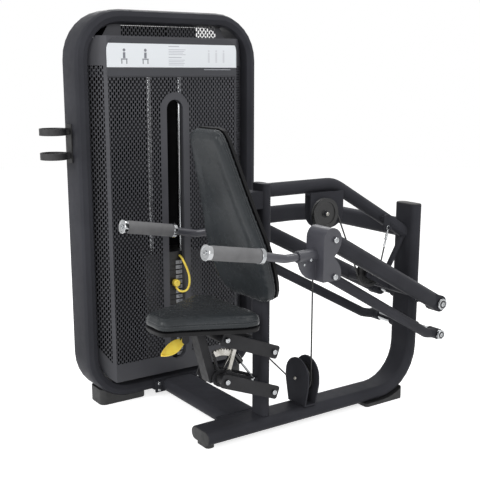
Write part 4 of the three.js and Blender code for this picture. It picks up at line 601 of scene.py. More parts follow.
finish_of = {
    powder: ["tower_hoop", "side_beam", "top_tube", "tie_tube", "crossbeam", "seat_post",
             "pulley_hanger", "lower_pulley_bracket", "stack_base", "top_crossmember", "press_arm",
             "lower_arm_left", "lower_arm_right"],
    carrier_painted_light: ["carrier_left", "carrier_right", "handle_left", "handle_right"],
    link_painted_shade: ["upper_link", "lower_link", "seat_carriage"],
    foot_plastic: ["tower_foot_left", "tower_foot_right", "rear_foot", "front_foot",
                   "bottle_holder"],
    iron: ["head_plate", "weight_plates_rest"] + [f"weight_plate_{i}" for i in range(1, 6)],
    nylon: ["upper_pulley", "lower_pulley", "moving_pulley", "tower_pulley",
            "top_pulley_inner", "top_pulley_outer"],
    chrome: ["guide_rod_left", "guide_rod_right", "upper_axle", "lower_axle", "gas_rod"],
    zinc: ["latch_pawl", "cable_anchor"],
    grip_rubber: ["grip_left", "grip_right"],
    cable_jacket: ["main_cable", "stack_cable", "arm_cable"],
    strut_paint: ["gas_cylinder"],
    yellow_plastic: ["selector_pin", "seat_lever", "pin_lanyard"],
    board_plastic: ["back_board"],
    vinyl: ["seat_pad", "back_pad"],
    front_sheet: ["front_shroud"],
    rear_sheet: ["rear_shroud"],
}
round_nodes = {"guide_rod_left", "guide_rod_right", "main_cable", "stack_cable", "arm_cable",
               "pin_lanyard", "grip_left", "grip_right", "gas_rod", "gas_cylinder"}
for finish, names in finish_of.items():
    for name in names:
        node = nodes[name]
        coat(node.data, finish)
        shade_smooth(node.data)
        join(node)
        if name not in round_nodes:
            soft_edges(node, SHEET_EDGE if "shroud" in name else TUBE_EDGE, 38)
        flat = node.modifiers.new("flat faces", "WEIGHTED_NORMAL")
        flat.keep_sharp = False
cord_line.materials.append(yellow_plastic)
print("nodes with a finish:", sum(len(names) for names in finish_of.values()))

# %% [markdown]
# ## Making pieces
# Small parts are made with bmesh operators in the place where they sit, so that every
# object stays at the origin. A turned part is a profile of radius and height pairs that
# is spun about its axis. Edges sharper than 35 degrees stay crisp.

# %% Helpers for pieces


def piece(name, bm, finish, body, crisp=35):
    """Turns a bmesh into a finished object that rides on a CAD body."""
    bmesh.ops.remove_doubles(bm, verts=bm.verts[:], dist=1e-6)
    bmesh.ops.recalc_face_normals(bm, faces=bm.faces[:])
    for edge in bm.edges:
        edge.smooth = len(edge.link_faces) == 2 and edge.calc_face_angle(0) < math.radians(crisp)
    for face in bm.faces:
        face.smooth = True
    mesh = bpy.data.meshes.new(name)
    bm.to_mesh(mesh)
    bm.free()
    mesh.materials.append(finish)
    obj = link(bpy.data.objects.new(name, mesh))
    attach(obj, body)
    return obj


def turned(name, profile, place, axis, finish, body, steps=24):
    """A turned part: radius and height pairs spun about an axis through place, all in mm."""
    bm = bmesh.new()
    axis = Vector(axis).normalized()
    side = axis.orthogonal().normalized()
    centre = Vector(place) * MM
    verts = [bm.verts.new(centre + (side * radius + axis * height) * MM)
             for radius, height in profile]
    edges = [bm.edges.new(pair) for pair in zip(verts, verts[1:])]
    bmesh.ops.spin(bm, geom=verts + edges, cent=centre, axis=axis, angle=math.tau, steps=steps,
                   use_merge=True)
    return piece(name, bm, finish, body)


def plate(low, high, edge):
    """A bmesh of a box between two corners in mm, with its edges bevelled."""
    low, high = Vector(low) * MM, Vector(high) * MM
    bm = bmesh.new()
    box = bmesh.ops.create_cube(bm, size=1.0)["verts"]
    bmesh.ops.scale(bm, vec=high - low, verts=box)
    bmesh.ops.translate(bm, vec=(low + high) / 2, verts=box)
    bmesh.ops.bevel(bm, geom=bm.edges[:], offset=edge * MM, segments=1, affect="EDGES",
                    profile=0.5, material=-1)
    return bm


def seat_of(node, start, direction):
    """Where a ray from start, in mm, meets a node, and the way back along the ray."""
    mesh = nodes[node].data
    surface = BVHTree.FromPolygons([vert.co.copy() for vert in mesh.vertices],
                                   [list(polygon.vertices) for polygon in mesh.polygons])
    way = Vector(direction).normalized()
    hit = surface.ray_cast(Vector(start) * MM, way)[0]
    if hit is None:
        raise ValueError(f"nothing of {node} lies that way from {start}")
    return hit / MM, -way


print("helpers ready")

# %% [markdown]
# ## Screws
# The machine is held together by socket screws with low round heads. One profile gives
# the dome with its sunk socket. Each screw is seated by a ray: it starts outside, and
# where it meets the CAD node the head is placed, so no head floats or sinks.

# %% Screw heads


def screw(name, node, start, direction, body, radius, height, finish=chrome):
    """A button-head screw on a node's surface, found by a ray in mm."""
    seat, out = seat_of(node, start, direction)
    socket = radius * 0.42
    profile = [(0, 0.05), (radius, 0.05), (radius, height * 0.3), (radius * 0.93, height * 0.58),
               (radius * 0.78, height * 0.82), (radius * 0.55, height), (socket * 1.08, height),
               (socket, height * 0.9), (socket, height * 0.45), (0, height * 0.4)]
    turned(name, profile, seat, out, finish, body, 20)


MIDDLE = -170.0
ARM_OUT = 270
SIDES = (("left", -1), ("right", 1))
CARRIER_SCREWS = (("upper", 748), ("lower", 626))
SLEEVE_SCREWS = (("front", -121, 670, 5, 3), ("rear", -103, 686, 6, 3.4))
LINK_SCREWS = (("upper_rear", "seat_post", "frame", -95, 319),
               ("lower_rear", "seat_post", "frame", -95, 170),
               ("upper_front", "seat_carriage", "seat", -293, 397),
               ("lower_front", "seat_carriage", "seat", -293, 248))
count = 0
for side, sign in SIDES:
    node, rider, out = f"carrier_{side}", f"carrier_{side[0]}", MIDDLE + sign * ARM_OUT
    for level, z in CARRIER_SCREWS:
        for face, way in (("outer", sign), ("inner", -sign)):
            screw(f"carrier_{side}_screw_{level}_{face}", node, (-29, out + way * 120, z),
                  (0, -way, 0), rider, 9.6, 3.4)
            count += 1
    for level, x, z, radius, height in SLEEVE_SCREWS:
        screw(f"sleeve_{side}_screw_{level}", node, (x, out + sign * 90, z), (0, -sign, 0), rider,
              radius, height)
        count += 1
    for name, node, rider, x, z in LINK_SCREWS:
        screw(f"link_{name}_{side}_screw", node, (x, MIDDLE + sign * 150, z), (0, -sign, 0), rider,
              9.2, 3.2)
        count += 1
print("screws:", count)

# %% [markdown]
# ## End caps of the pivots
# Each press arm turns on a bright axle. Its end is a chrome cap: a raised ring, a sunk
# face and a screw in the middle, each spun from its own profile.

# %% Pivot caps
AXLES = (("upper_axle", 409, 22), ("lower_axle", 287, 19))
AXLE_X = 617

for axle, z, radius in AXLES:
    for side, sign in SIDES:
        seat, out = seat_of(axle, (AXLE_X, MIDDLE + sign * 320, z), (0, -sign, 0))
        ring = [(0, 0.05), (radius * 0.97, 0.05), (radius * 0.97, 2.0), (radius * 0.9, 3.0),
                (radius * 0.74, 3.0), (radius * 0.7, 2.4), (radius * 0.7, 0.8), (0, 0.8)]
        turned(f"{axle}_{side}_ring", ring, seat, out, chrome, "frame")
        well = [(0, 0.85), (radius * 0.69, 0.85), (radius * 0.69, 1.1), (0, 1.1)]
        turned(f"{axle}_{side}_well", well, seat, out, iron, "frame")
        head = [(0, 1.15), (radius * 0.42, 1.15), (radius * 0.42, 3.6), (radius * 0.36, 4.4),
                (radius * 0.2, 4.4), (radius * 0.18, 2.8), (0, 2.7)]
        turned(f"{axle}_{side}_screw", head, seat, out, chrome, "frame", 18)
print("pivot caps on both axles")

# %% [markdown]
# ## Grip collars
# The rubber grip sits between two chrome collars. They are spun round the line of the
# grip: the front one is closed by a sunk face with a screw, the rear one is a ring.

# %% Chrome collars
GRIP_REAR, GRIP_FRONT = (-301, 720), (-482, 751)
FRONT_COLLAR = [(0, 0.1), (25.4, 0.1), (25.7, 1.2), (25.7, 13.2), (24.4, 14.9), (19.0, 14.9),
                (17.6, 13.6), (17.6, 13.4), (0, 13.4)]
END_SCREW = [(0, 13.5), (7.6, 13.5), (7.6, 16.4), (6.4, 17.4), (3.6, 17.4), (3.2, 15.6), (0, 15.5)]
REAR_COLLAR = [(14.6, -0.4), (24.9, -0.4), (25.6, -1.2), (25.6, -13.4), (24.6, -14.6),
               (14.6, -14.6), (14.6, -0.4)]

for side, sign in SIDES:
    rider = f"grip_bar_{side[0]}"
    rear, front = (Vector((x, MIDDLE + sign * ARM_OUT, z)) for x, z in (GRIP_REAR, GRIP_FRONT))
    along = (front - rear).normalized()
    turned(f"grip_{side}_front_collar", FRONT_COLLAR, front, along, chrome, rider)
    turned(f"grip_{side}_end_screw", END_SCREW, front, along, chrome, rider, 18)
    turned(f"grip_{side}_rear_collar", REAR_COLLAR, rear, along, chrome, rider)
print("collars on both grips")

# %% [markdown]
# ## Cushions
# The seat and the backrest are foam on a board, covered in vinyl. In the CAD model they
# are stiff solids. Here each one is copied, given an even net of small quads by a voxel
# remesh, and blown up by the cloth solver, which rounds it as stretched vinyl is round.
# A cap on how far each point may go keeps the cushion close to its solid. The seams are
# added afterwards, because the remesh would wipe them out.

# %% Helpers for cushions
PUSH = 4.0
SETTLE_FRAMES = 20


def evaluated(obj):
    """A mesh of the object with its modifiers worked in."""
    bpy.context.view_layer.update()
    graph = bpy.context.evaluated_depsgraph_get()
    return bpy.data.meshes.new_from_object(obj.evaluated_get(graph))


def solid_copy(node):
    """A closed bmesh of a CAD node, which itself is loose triangles."""
    bm = bmesh.new()
    bm.from_mesh(nodes[node].data)
    bmesh.ops.remove_doubles(bm, verts=bm.verts[:], dist=2e-5)
    return bm


def keep_side(bm, point, normal):
    """Cuts a closed bmesh at a plane, keeps what the normal points to and closes the cut."""
    cut = bmesh.ops.bisect_plane(bm, geom=bm.verts[:] + bm.edges[:] + bm.faces[:], dist=1e-6,
                                 plane_co=point, plane_no=normal, clear_inner=True)["geom_cut"]
    rim = [item for item in cut if isinstance(item, bmesh.types.BMEdge)]
    bmesh.ops.holes_fill(bm, edges=rim)


def blown_up(name, bm, voxel, shrink, reach):
    """The skin of a cushion: remeshed, inflated and held within reach of its start."""
    bm.normal_update()
    for vert in bm.verts:
        vert.co -= vert.normal * shrink
    mesh = bpy.data.meshes.new(name)
    bm.to_mesh(mesh)
    bm.free()
    obj = link(bpy.data.objects.new(name, mesh))
    net = obj.modifiers.new("even net", "REMESH")
    net.mode = "VOXEL"
    net.voxel_size = voxel
    obj.data = evaluated(obj)
    obj.modifiers.clear()
    start = [vert.co.copy() for vert in obj.data.vertices]
    cloth = obj.modifiers.new("skin", "CLOTH")
    cloth.settings.use_pressure = True
    cloth.settings.uniform_pressure_force = PUSH
    cloth.settings.effector_weights.gravity = 0.0
    cloth.point_cache.frame_start = 1
    cloth.point_cache.frame_end = SETTLE_FRAMES
    for step in range(1, SETTLE_FRAMES + 1):
        bpy.context.scene.frame_set(step)
    swollen = evaluated(obj)
    obj.modifiers.clear()
    bpy.context.scene.frame_set(1)
    for vert, rest in zip(swollen.vertices, start):
        move = vert.co - rest
        if move.length > reach:
            vert.co = rest + move.normalized() * reach
    obj.data = swollen
    smooth = obj.modifiers.new("finer", "SUBSURF")
    smooth.levels = smooth.render_levels = 1
    obj.data = evaluated(obj)
    obj.modifiers.clear()
    shade_smooth(obj.data)
    return obj


def crease(obj, point, normal, depth, width):
    """Draws the skin in along a plane, as a seam pulls it."""
    bm = bmesh.new()
    bm.from_mesh(obj.data)
    bm.normal_update()
    for vert in bm.verts:
        away = abs((vert.co - point).dot(normal))
        if away < width and abs(vert.normal.dot(normal)) < 0.8:
            vert.co -= vert.normal * depth * (1 - away / width) ** 2
    bm.to_mesh(obj.data)
    bm.free()


def cut_ring(mesh, point, normal):
    """The longest run of points where a plane cuts a mesh, walked in a fixed order."""
    bm = bmesh.new()
    bm.from_mesh(mesh)
    cut = bmesh.ops.bisect_plane(bm, geom=bm.verts[:] + bm.edges[:] + bm.faces[:], dist=1e-7,
                                 plane_co=point, plane_no=normal)["geom_cut"]
    rim = dict.fromkeys(item for item in cut if isinstance(item, bmesh.types.BMEdge))
    best = []
    while rim:
        edge = next(iter(rim))
        del rim[edge]
        walk = [edge.verts[0], edge.verts[1]]
        while True:
            ahead = next((e for e in walk[-1].link_edges if e in rim), None)
            if ahead is None:
                break
            del rim[ahead]
            walk.append(ahead.other_vert(walk[-1]))
        if len(walk) > len(best):
            best = walk
    points = [vert.co.copy() for vert in best]
    bm.free()
    return points


def ring_at(mesh, point, normal, spacing):
    """Evenly spaced points round a mesh where a plane cuts it."""
    points = cut_ring(mesh, point, normal)
    lengths = [0.0]
    for one, other in zip(points, points[1:]):
        lengths.append(lengths[-1] + (other - one).length)
    count = max(8, round(lengths[-1] / spacing))
    even, at = [], 0
    for i in range(count):
        goal = lengths[-1] * i / count
        while lengths[at + 1] < goal:
            at += 1
        share = (goal - lengths[at]) / max(lengths[at + 1] - lengths[at], 1e-9)
        even.append(points[at].lerp(points[at + 1], share))
    for _ in range(3):
        even = [(even[i - 1] + even[i] * 2 + even[(i + 1) % count]) / 4 for i in range(count)]
    return even


def roll(name, points, radius, finish, body):
    """A round edge roll along a closed ring of points."""
    curve = bpy.data.curves.new(name, "CURVE")
    curve.dimensions = "3D"
    line = curve.splines.new("POLY")
    line.points.add(len(points) - 1)
    for spot, point in zip(line.points, points):
        spot.co = (*point, 1)
    line.use_cyclic_u = True
    curve.bevel_depth = radius
    curve.bevel_resolution = 2
    shape = link(bpy.data.objects.new(name + "_line", curve))
    mesh = evaluated(shape)
    bpy.data.objects.remove(shape)
    coat(mesh, finish)
    shade_smooth(mesh)
    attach(link(bpy.data.objects.new(name, mesh)), body)


def stitches(name, points, axis, length, radius, body):
    """A run of short threads along a ring, each lying just proud of the skin."""
    bm = bmesh.new()
    count = len(points)
    for i in range(0, count, 2):
        one, other = points[i], points[(i + 1) % count]
        outwards = (other - one).cross(axis).normalized()
        middle = (one + other) / 2 + outwards * radius * 0.4
        turn = (other - one).to_track_quat("Z", "Y").to_matrix().to_4x4()
        bmesh.ops.create_cone(bm, cap_ends=True, segments=6, radius1=radius, radius2=radius,
                              depth=length, matrix=Matrix.Translation(middle) @ turn)
    piece(name, bm, thread, body, 80)


print("cushion helpers ready")

# %% [markdown]
# The seat is one cushion on a black plastic base. A plane cuts the CAD solid into the
# two, with a thin gap between them. The real seat is a little shorter, narrower and
# thicker than its solid, so both halves are drawn in and the cushion is raised. The
# vinyl has a seam under its top edge with a row of stitches on either side.

# %% Seat outline and base
UP = Vector((0, 0, 1))
SOLID_FRONT, SEAT_FRONT = -0.560, -0.540
LENGTH_SHARE, WIDTH_SHARE = 0.863, 0.935
BASE_TOP, CUSHION_FOOT = 0.4548, 0.4556


def drawn_in(bm, lift):
    """Draws the seat in from its ends and sides, and stretches its cushion upwards."""
    middle = MIDDLE * MM
    for vert in bm.verts:
        vert.co.x = SEAT_FRONT + (vert.co.x - SOLID_FRONT) * LENGTH_SHARE
        vert.co.y = middle + (vert.co.y - middle) * WIDTH_SHARE
        vert.co.z += max(0.0, vert.co.z - CUSHION_FOOT) * lift


base_bm = solid_copy("seat_pad")
keep_side(base_bm, UP * BASE_TOP, -UP)
drawn_in(base_bm, 0.0)
seat_base = piece("seat_base", base_bm, board_plastic, "seat", 50)
soft_edges(seat_base, TUBE_EDGE, 30)
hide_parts("seat_pad")
print("seat base:", len(seat_base.data.polygons), "faces")

# %% Seat cushion
CUSHION_LIFT = 0.09
SHRINK, REACH = 0.0022, 0.0045
SEAT_SEAM = UP * 0.4765

top_bm = solid_copy("seat_pad")
keep_side(top_bm, UP * CUSHION_FOOT, UP)
drawn_in(top_bm, CUSHION_LIFT)
seat_cushion = blown_up("seat_cushion", top_bm, 0.005, SHRINK, REACH)
crease(seat_cushion, SEAT_SEAM, UP, 0.0016, 0.006)
coat(seat_cushion.data, vinyl)
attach(seat_cushion, "seat")
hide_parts("seat_pad")
print("seat cushion:", len(seat_cushion.data.polygons), "faces")

# %% Seat seam
ROLL_RADIUS, ROLL_SPACING = 0.0011, 0.004
STITCH_LENGTH, STITCH_RADIUS, STITCH_SPACING = 0.0036, 0.0006, 0.0026


def signed(points, axis):
    """The same ring, walked so that its steps crossed with the axis point away from it."""
    middle = sum(points, Vector()) / len(points)
    side = (points[1] - points[0]).cross(axis)
    return points if side.dot(points[0] - middle) > 0 else points[::-1]


def sewn(name, cushion, seam, rows, axis, body):
    """An edge roll on a cushion's seam with a row of stitches on either side of it."""
    ring = signed(ring_at(cushion.data, seam, axis, ROLL_SPACING), axis)
    roll(f"{name}_seam", ring, ROLL_RADIUS, vinyl, body)
    for label, place in rows:
        row = signed(ring_at(cushion.data, place, axis, STITCH_SPACING), axis)
        stitches(f"{name}_stitches_{label}", row, axis, STITCH_LENGTH, STITCH_RADIUS, body)
    print(name, "seam:", len(ring), "points")


rows = (("upper", UP * 0.4800), ("lower", UP * 0.4730))
sewn("seat", seat_cushion, SEAT_SEAM, rows, UP, "seat")

# %% [markdown]
# The backrest leans, so its seams lie in planes along its own face. Its edge is a wide
# soft roll, with the double stitching a finger's breadth behind it.

# %% Backrest cushion
LEAN = Vector((-1, 0, -0.3057)).normalized()
SEAM_DEPTH = 0.021
STITCH_DEPTHS = (("front", 0.0175), ("rear", 0.0245))
back_bm = solid_copy("back_pad")
face_height = max(vert.co.dot(LEAN) for vert in back_bm.verts)
back_cushion = blown_up("back_cushion", back_bm, 0.006, SHRINK, REACH)
back_seam = LEAN * (face_height - SEAM_DEPTH)
crease(back_cushion, back_seam, LEAN, 0.0018, 0.007)
coat(back_cushion.data, vinyl)
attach(back_cushion, "frame")
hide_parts("back_pad")
rows = [(label, LEAN * (face_height - depth)) for label, depth in STITCH_DEPTHS]
sewn("back", back_cushion, back_seam, rows, LEAN, "frame")
print("back cushion:", len(back_cushion.data.polygons), "faces")

# %% [markdown]
# ## Placard
# The board at the top of the tower tells how to use the machine. Here it is generic: a
# dark strip above and below, a pale field between them, and plain marks in the places
# of its drawings and notes. Each mark is a box or a disc, worked out from the place on
# the board.

# %% Helpers for print
PAPER = (0.93, 0.945, 0.96)

board = new_finish("placard print", PAPER, 0.38)
tree = board.node_tree
parts = tree.nodes.new("ShaderNodeSeparateXYZ")
tree.links.new(place_of(tree), parts.inputs[0])
across = sums(tree, "SUBTRACT", parts.outputs[0], SHEET_X)
up = parts.outputs[2]


def mark(x0, x1, z0, z1):
    """1 inside a box on the placard, in mm."""
    return product(tree, inside(tree, across, x0 * MM, x1 * MM), inside(tree, up, z0 * MM, z1 * MM))


def disc(x, z, radius):
    """1 inside a disc on the placard, in mm."""
    dx = sums(tree, "SUBTRACT", across, x * MM)
    dz = sums(tree, "SUBTRACT", up, z * MM)
    return sums(tree, "LESS_THAN", distance(tree, dx, dz), radius * MM)


def layer(base, mask, colour):
    """One print colour over another."""
    mix = tree.nodes.new("ShaderNodeMix")
    mix.data_type = "RGBA"
    mix.inputs[7].default_value = (*linear(*colour), 1)
    if isinstance(base, tuple):
        mix.inputs[6].default_value = (*linear(*base), 1)
    else:
        tree.links.new(base, mix.inputs[6])
    tree.links.new(mask, mix.inputs[0])
    return mix.outputs[2]


def union(masks):
    """1 where any of the masks is 1."""
    total = masks[0]
    for mask in masks[1:]:
        total = sums(tree, "MAXIMUM", total, mask)
    return total


print("print helpers ready")

# %% Marks of the placard
DRAWINGS_X = (-211, -124)
NOTES_X = -26
FIGURES_X = (152, 186, 220)
STRIPS = ((1200, 1294), (1379, 1420))

dark_strips = union([mark(-300, 300, low, high) for low, high in STRIPS])
drawings = []
for x in DRAWINGS_X:
    drawings += [disc(x, 1355, 5.5), mark(x - 5, x + 5, 1326, 1347),
                 mark(x - 13, x + 13, 1321, 1325), mark(x - 12, x - 8, 1306, 1321),
                 mark(x + 8, x + 12, 1306, 1321)]
notes = [mark(NOTES_X, 20, 1369, 1372), mark(NOTES_X, 30, 1329, 1332)]
for row in range(4):
    notes.append(mark(NOTES_X, 48 - 6 * (row % 3), 1358 - 6 * row, 1360 - 6 * row))
    notes.append(mark(NOTES_X, 44 - 5 * (row % 2), 1320 - 6 * row, 1322 - 6 * row))
figures = [disc(x, 1356, 4) for x in FIGURES_X]
figures += [mark(x - 4, x + 4, 1312, 1350) for x in FIGURES_X]
colour = layer(PAPER, union(drawings), (0.5, 0.51, 0.54))
colour = layer(colour, union(notes), (0.74, 0.75, 0.78))
colour = layer(colour, union(figures), (0.86, 0.87, 0.89))
colour = layer(colour, dark_strips, (0.2, 0.205, 0.225))
colour = layer(colour, mark(130, 252, 1285, 1287), (0.7, 0.71, 0.73))
tree.links.new(colour, shader_of(tree).inputs["Base Color"])
gloss(board, 0.3, 0.44, 35)
grain(board, 300, 2, 0.00003, 0.4)
coat(nodes["placard"].data, board)
join(nodes["placard"])
soft_edges(nodes["placard"], 0.0008, 40)
print("placard marks:", len(drawings) + len(notes) + len(figures))

# %% [markdown]
# ## Weight labels
# Each plate of the stack carries a pale label with its number and a dark hole for the
# pin beside it. The numbers are text objects that are made a mesh and put in place.

# %% Label finishes
label_pale = new_finish("stack label", (0.66, 0.67, 0.69), 0.45)
tint(label_pale, (0.6, 0.61, 0.63), (0.72, 0.73, 0.75), 60)
gloss(label_pale, 0.38, 0.55, 80)
label_dark = new_finish("label number", (0.07, 0.07, 0.075), 0.5)
tint(label_dark, (0.06, 0.06, 0.065), (0.09, 0.09, 0.095), 90)
gloss(label_dark, 0.42, 0.58, 80)
print("label finishes ready")

# %% Labels on the stack
STACK_FRONT = 355.9
STACK_TOP, PLATE_RISE = 545, 20
PLATES, LIFTED = 20, 5
PIN_X, LABEL_X = -144, (-136, -103)
PIN_HOLE = [(0, 0), (5.6, 0), (5.6, 0.3), (4.6, 0.5), (0, 0.5)]


def number(name, text, x, z, size, body):
    """A flat number on the front of a plate, in mm."""
    words = bpy.data.curves.new(name, "FONT")
    words.body = text
    words.size = size * MM
    words.align_x = "CENTER"
    words.align_y = "CENTER"
    words.extrude = 0.00012
    words.resolution_u = 2
    shape = link(bpy.data.objects.new(name + "_text", words))
    mesh = evaluated(shape)
    bpy.data.objects.remove(shape)
    mesh.transform(Matrix.Translation(Vector((x, STACK_FRONT - 0.75, z)) * MM)
                   @ Matrix.Rotation(math.pi / 2, 4, "X"))
    coat(mesh, label_dark)
    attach(link(bpy.data.objects.new(name, mesh)), body)


for index in range(1, PLATES + 1):
    z = STACK_TOP - (index - 0.5) * PLATE_RISE
    rider = "stack" if index <= LIFTED else "frame"
    bm = plate((LABEL_X[0], STACK_FRONT - 0.6, z - 7), (LABEL_X[1], STACK_FRONT, z + 7), 0.25)
    piece(f"stack_label_{index}", bm, label_pale, rider)
    number(f"stack_number_{index}", str(index * 5), sum(LABEL_X) / 2, z, 12, rider)
    if index != LIFTED:
        turned(f"pin_hole_{index}", PIN_HOLE, (PIN_X, STACK_FRONT, z), (0, -1, 0), iron, rider, 16)
print("labels:", PLATES)

# %% [markdown]
# ## Seat lever
# A yellow paddle under the seat frees the latch. It is a grid that is shaped to a leaf,
# cupped across its width like a spoon, and given its thickness by Solidify.

# %% Lever paddle
NECK = Vector((-412, MIDDLE, 398))
TIP = Vector((-503, MIDDLE, 358))
LEAF_ACROSS = Vector((0, 0.75, 0.66))
LEAF_FACE = Vector((0, -0.66, 0.75))
WIDEST = 0.42


def half_width(share):
    """Half the leaf's width in mm, from its neck at 0 to its tip at 1."""
    if share < WIDEST:
        return 9.0 + 14.0 * math.sin(share / WIDEST * math.pi / 2) ** 1.2
    return 22.4 * max(0.0, 1 - ((share - WIDEST) / (1 - WIDEST)) ** 1.9) ** 0.75 + 0.6


bm = bmesh.new()
bmesh.ops.create_grid(bm, x_segments=18, y_segments=8, size=1.0)
for vert in bm.verts:
    share, wide = (vert.co.x + 1) / 2, vert.co.y
    middle = NECK.lerp(TIP, share)
    rise = 7.0 * wide * wide * math.sin(min(share * 1.3, 1) * math.pi / 2)
    cup = rise - 6.0 * math.sin(share * math.pi)
    vert.co = (middle + LEAF_ACROSS * wide * half_width(share) + LEAF_FACE * cup) * MM
paddle = piece("lever_paddle", bm, yellow_plastic, "lever", 80)
wall = paddle.modifiers.new("wall", "SOLIDIFY")
wall.thickness = 0.004
wall.offset = 0
finer = paddle.modifiers.new("finer", "SUBSURF")
finer.levels = finer.render_levels = 2
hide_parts("seat_lever")
hub = [(4.4, -5), (8.6, -5), (9.2, -4.2), (9.2, 4.2), (8.6, 5), (4.4, 5), (4.4, -5)]
turned("lever_hub", hub, NECK, (0, 1, 0), yellow_plastic, "lever", 20)
print("lever paddle and hub")

# %% [markdown]
# ## Turnbuckle
# The arm cable ends in a turnbuckle on the top tube: a pressed sleeve, a threaded rod,
# the turning body and an eye on a pin. All of it is spun about the cable's own line.

# %% Turnbuckle
ROD = 2.9
CABLE_Y = -220


def threads(start, turns):
    """The profile of some turns of thread, 2 mm apart."""
    profile = []
    for turn in range(turns):
        profile += [(ROD, start + turn * 2), (ROD + 0.5, start + 1 + turn * 2)]
    return profile


eye = Vector((462, CABLE_Y, 700))
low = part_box("cable_anchor")[0]
foot = Vector((low.x / MM + 5.2, CABLE_Y, low.z / MM + 2.4))
line = (eye - foot).normalized()
sleeve = [(0, 0.2), (4.2, 0.2), (4.2, 13), (ROD, 13.6)]
barrel = [(ROD, 24), (5.4, 24.6), (6.0, 26), (6.0, 29), (4.9, 31), (4.9, 41), (6.0, 43), (6.0, 46),
          (5.4, 47.4), (ROD, 48)]
profile = sleeve + threads(14, 5) + barrel + threads(48.4, 4) + [(ROD, 57), (ROD, 62), (0, 62)]
buckle = turned("turnbuckle", profile, foot, line, chrome, "frame", 18)
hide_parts("cable_anchor")
turns = [step * math.tau / 10 for step in range(11)]
loop = [(6.6 + 2.1 * math.cos(turn), 2.1 * math.sin(turn)) for turn in turns]
turned("turnbuckle_eye", loop, eye, (0, 1, 0), chrome, "frame", 24)
print("turnbuckle:", round((eye - foot).length), "mm")

# %% [markdown]
# ## Painted highlight on the latch
# The faces of the lower link that lie near the toothed rim of its quadrant get the zinc
# finish as a second material: a painted highlight along the rim's edge.

# %% Quadrant rim with a painted highlight
PIVOT_X, PIVOT_Z = -0.293, 0.248
RIM_SIDES = (-0.21, -0.19)
RIM_RADIUS, RIM_LOW = 0.079, 0.04

link_mesh = nodes["lower_link"].data
link_mesh.materials.append(zinc)
painted_highlight_faces = 0
# Faces near the rim take the zinc finish as a painted highlight along its edge.
for polygon in link_mesh.polygons:
    dx, dz = polygon.center.x - PIVOT_X, polygon.center.z - PIVOT_Z
    on_plate = RIM_SIDES[0] < polygon.center.y < RIM_SIDES[1]
    if on_plate and math.hypot(dx, dz) > RIM_RADIUS and dz > RIM_LOW:
        polygon.material_index = 1
        painted_highlight_faces += 1
print("faces of the rim:", painted_highlight_faces)

# %% [markdown]
# ## Plugs and pulley bolts
# Open tube ends are closed by plastic plugs, and each pulley turns on a bolt whose head
# shows on its bracket.

# %% Plugs
PLUG_HALF_WIDTH, PLUG_HALF_HEIGHT = 56.5, 23.5


def obround_plug(name, centre, across, up, out):
    """A flat plug with round ends; across and up are the axes of its face."""
    bm = bmesh.new()
    centre, across, up, out = (Vector(v) for v in (centre, across, up, out))
    outline = bmesh.ops.create_circle(bm, cap_ends=True, segments=32, radius=1.0)["verts"]
    for vert in outline:
        x, y = vert.co.x * PLUG_HALF_HEIGHT, vert.co.y * PLUG_HALF_HEIGHT
        x += math.copysign(PLUG_HALF_WIDTH - PLUG_HALF_HEIGHT, x)
        vert.co = (centre + across * x + up * y + out * 0.1) * MM
    skin = bmesh.ops.extrude_face_region(bm, geom=bm.faces[:])["geom"]
    lid = [v for v in skin if isinstance(v, bmesh.types.BMVert)]
    bmesh.ops.translate(bm, verts=lid, vec=out * 2.2 * MM)
    faces = [f for f in skin if isinstance(f, bmesh.types.BMFace)]
    rims = list(dict.fromkeys(e for f in faces for e in f.edges))
    bmesh.ops.bevel(bm, geom=rims, offset=0.9 * MM, segments=2, affect="EDGES", profile=0.5,
                    material=-1)
    piece(name, bm, foot_plastic, "frame")


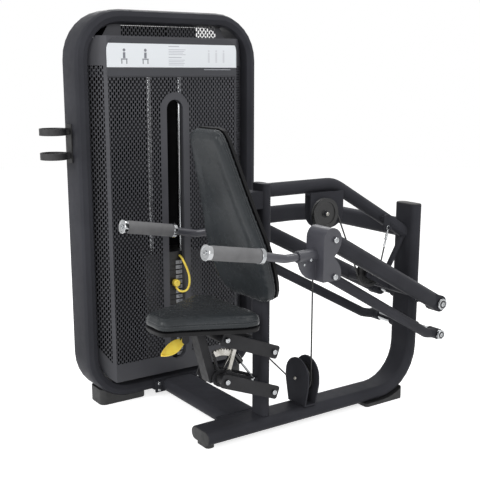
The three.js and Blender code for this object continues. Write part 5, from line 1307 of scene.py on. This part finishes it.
obround_plug("beam_plug", (-352, MIDDLE, 39), (0, 1, 0), (0, 0, 1), (-1, 0, 0))
obround_plug("post_plug", (AXLE_X, MIDDLE, 775), (0, 1, 0), (1, 0, 0), (0, 0, 1))
print("plugs in place")

# %% Pulley bolts and flange screws
BOLTS = (("upper_pulley_bolt_near", "pulley_hanger", (148, -320, 783), (0, 1, 0), "frame"),
         ("upper_pulley_bolt_far", "pulley_hanger", (148, -100, 783), (0, -1, 0), "frame"),
         ("lower_pulley_bolt_near", "lower_pulley_bracket", (0, -169, 165), (1, 0, 0), "frame"),
         ("lower_pulley_bolt_far", "lower_pulley_bracket", (200, -169, 165), (-1, 0, 0), "frame"),
         ("moving_pulley_bolt_near", "press_arm", (369, -300, 539), (0, 1, 0), "press"),
         ("moving_pulley_bolt_far", "press_arm", (369, -150, 539), (0, -1, 0), "press"))
FLANGE_X, FLANGE_Z = (-235, -53), (26, 52)

for name, node, start, way, rider in BOLTS:
    screw(name, node, start, way, rider, 7.2, 4.0, zinc)
for place, x in enumerate(FLANGE_X):
    for level, z in enumerate(FLANGE_Z):
        screw(f"flange_screw_{place}_{level}", "crossbeam", (x, 250, z), (0, 1, 0), "frame",
              6.8, 3.4)
print("bolts:", len(BOLTS), "flange screws:", len(FLANGE_X) * len(FLANGE_Z))

# %% [markdown]
# ## Cables copied from their solids
# Two cables can't ride on one body. The stack cable hangs from the tower and shortens
# as the stack rises. The arm cable is tied to the frame at its ends and runs round the
# pulley that the arm carries. Each here is a copy of its CAD solid with the finish of a
# cable jacket, shown in place of its CAD node.

# %% Cable copies
ROPES = (("stack_rope", "stack_cable", "stack", (PIN_X, 416, 1335), (PIN_X, 416, 618)),
         ("arm_rope", "arm_cable", "press", (320, CABLE_Y, 625), (320, CABLE_Y, 575)))

for label, node, body, high, low in ROPES:
    bm = solid_copy(node)
    mesh = bpy.data.meshes.new(label)
    bm.to_mesh(mesh)
    bm.free()
    coat(mesh, cable_jacket)
    shade_smooth(mesh)
    rope = link(bpy.data.objects.new(label, mesh))
    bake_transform(rope)
    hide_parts(node)
    print(label, "blends between the frame and", body)
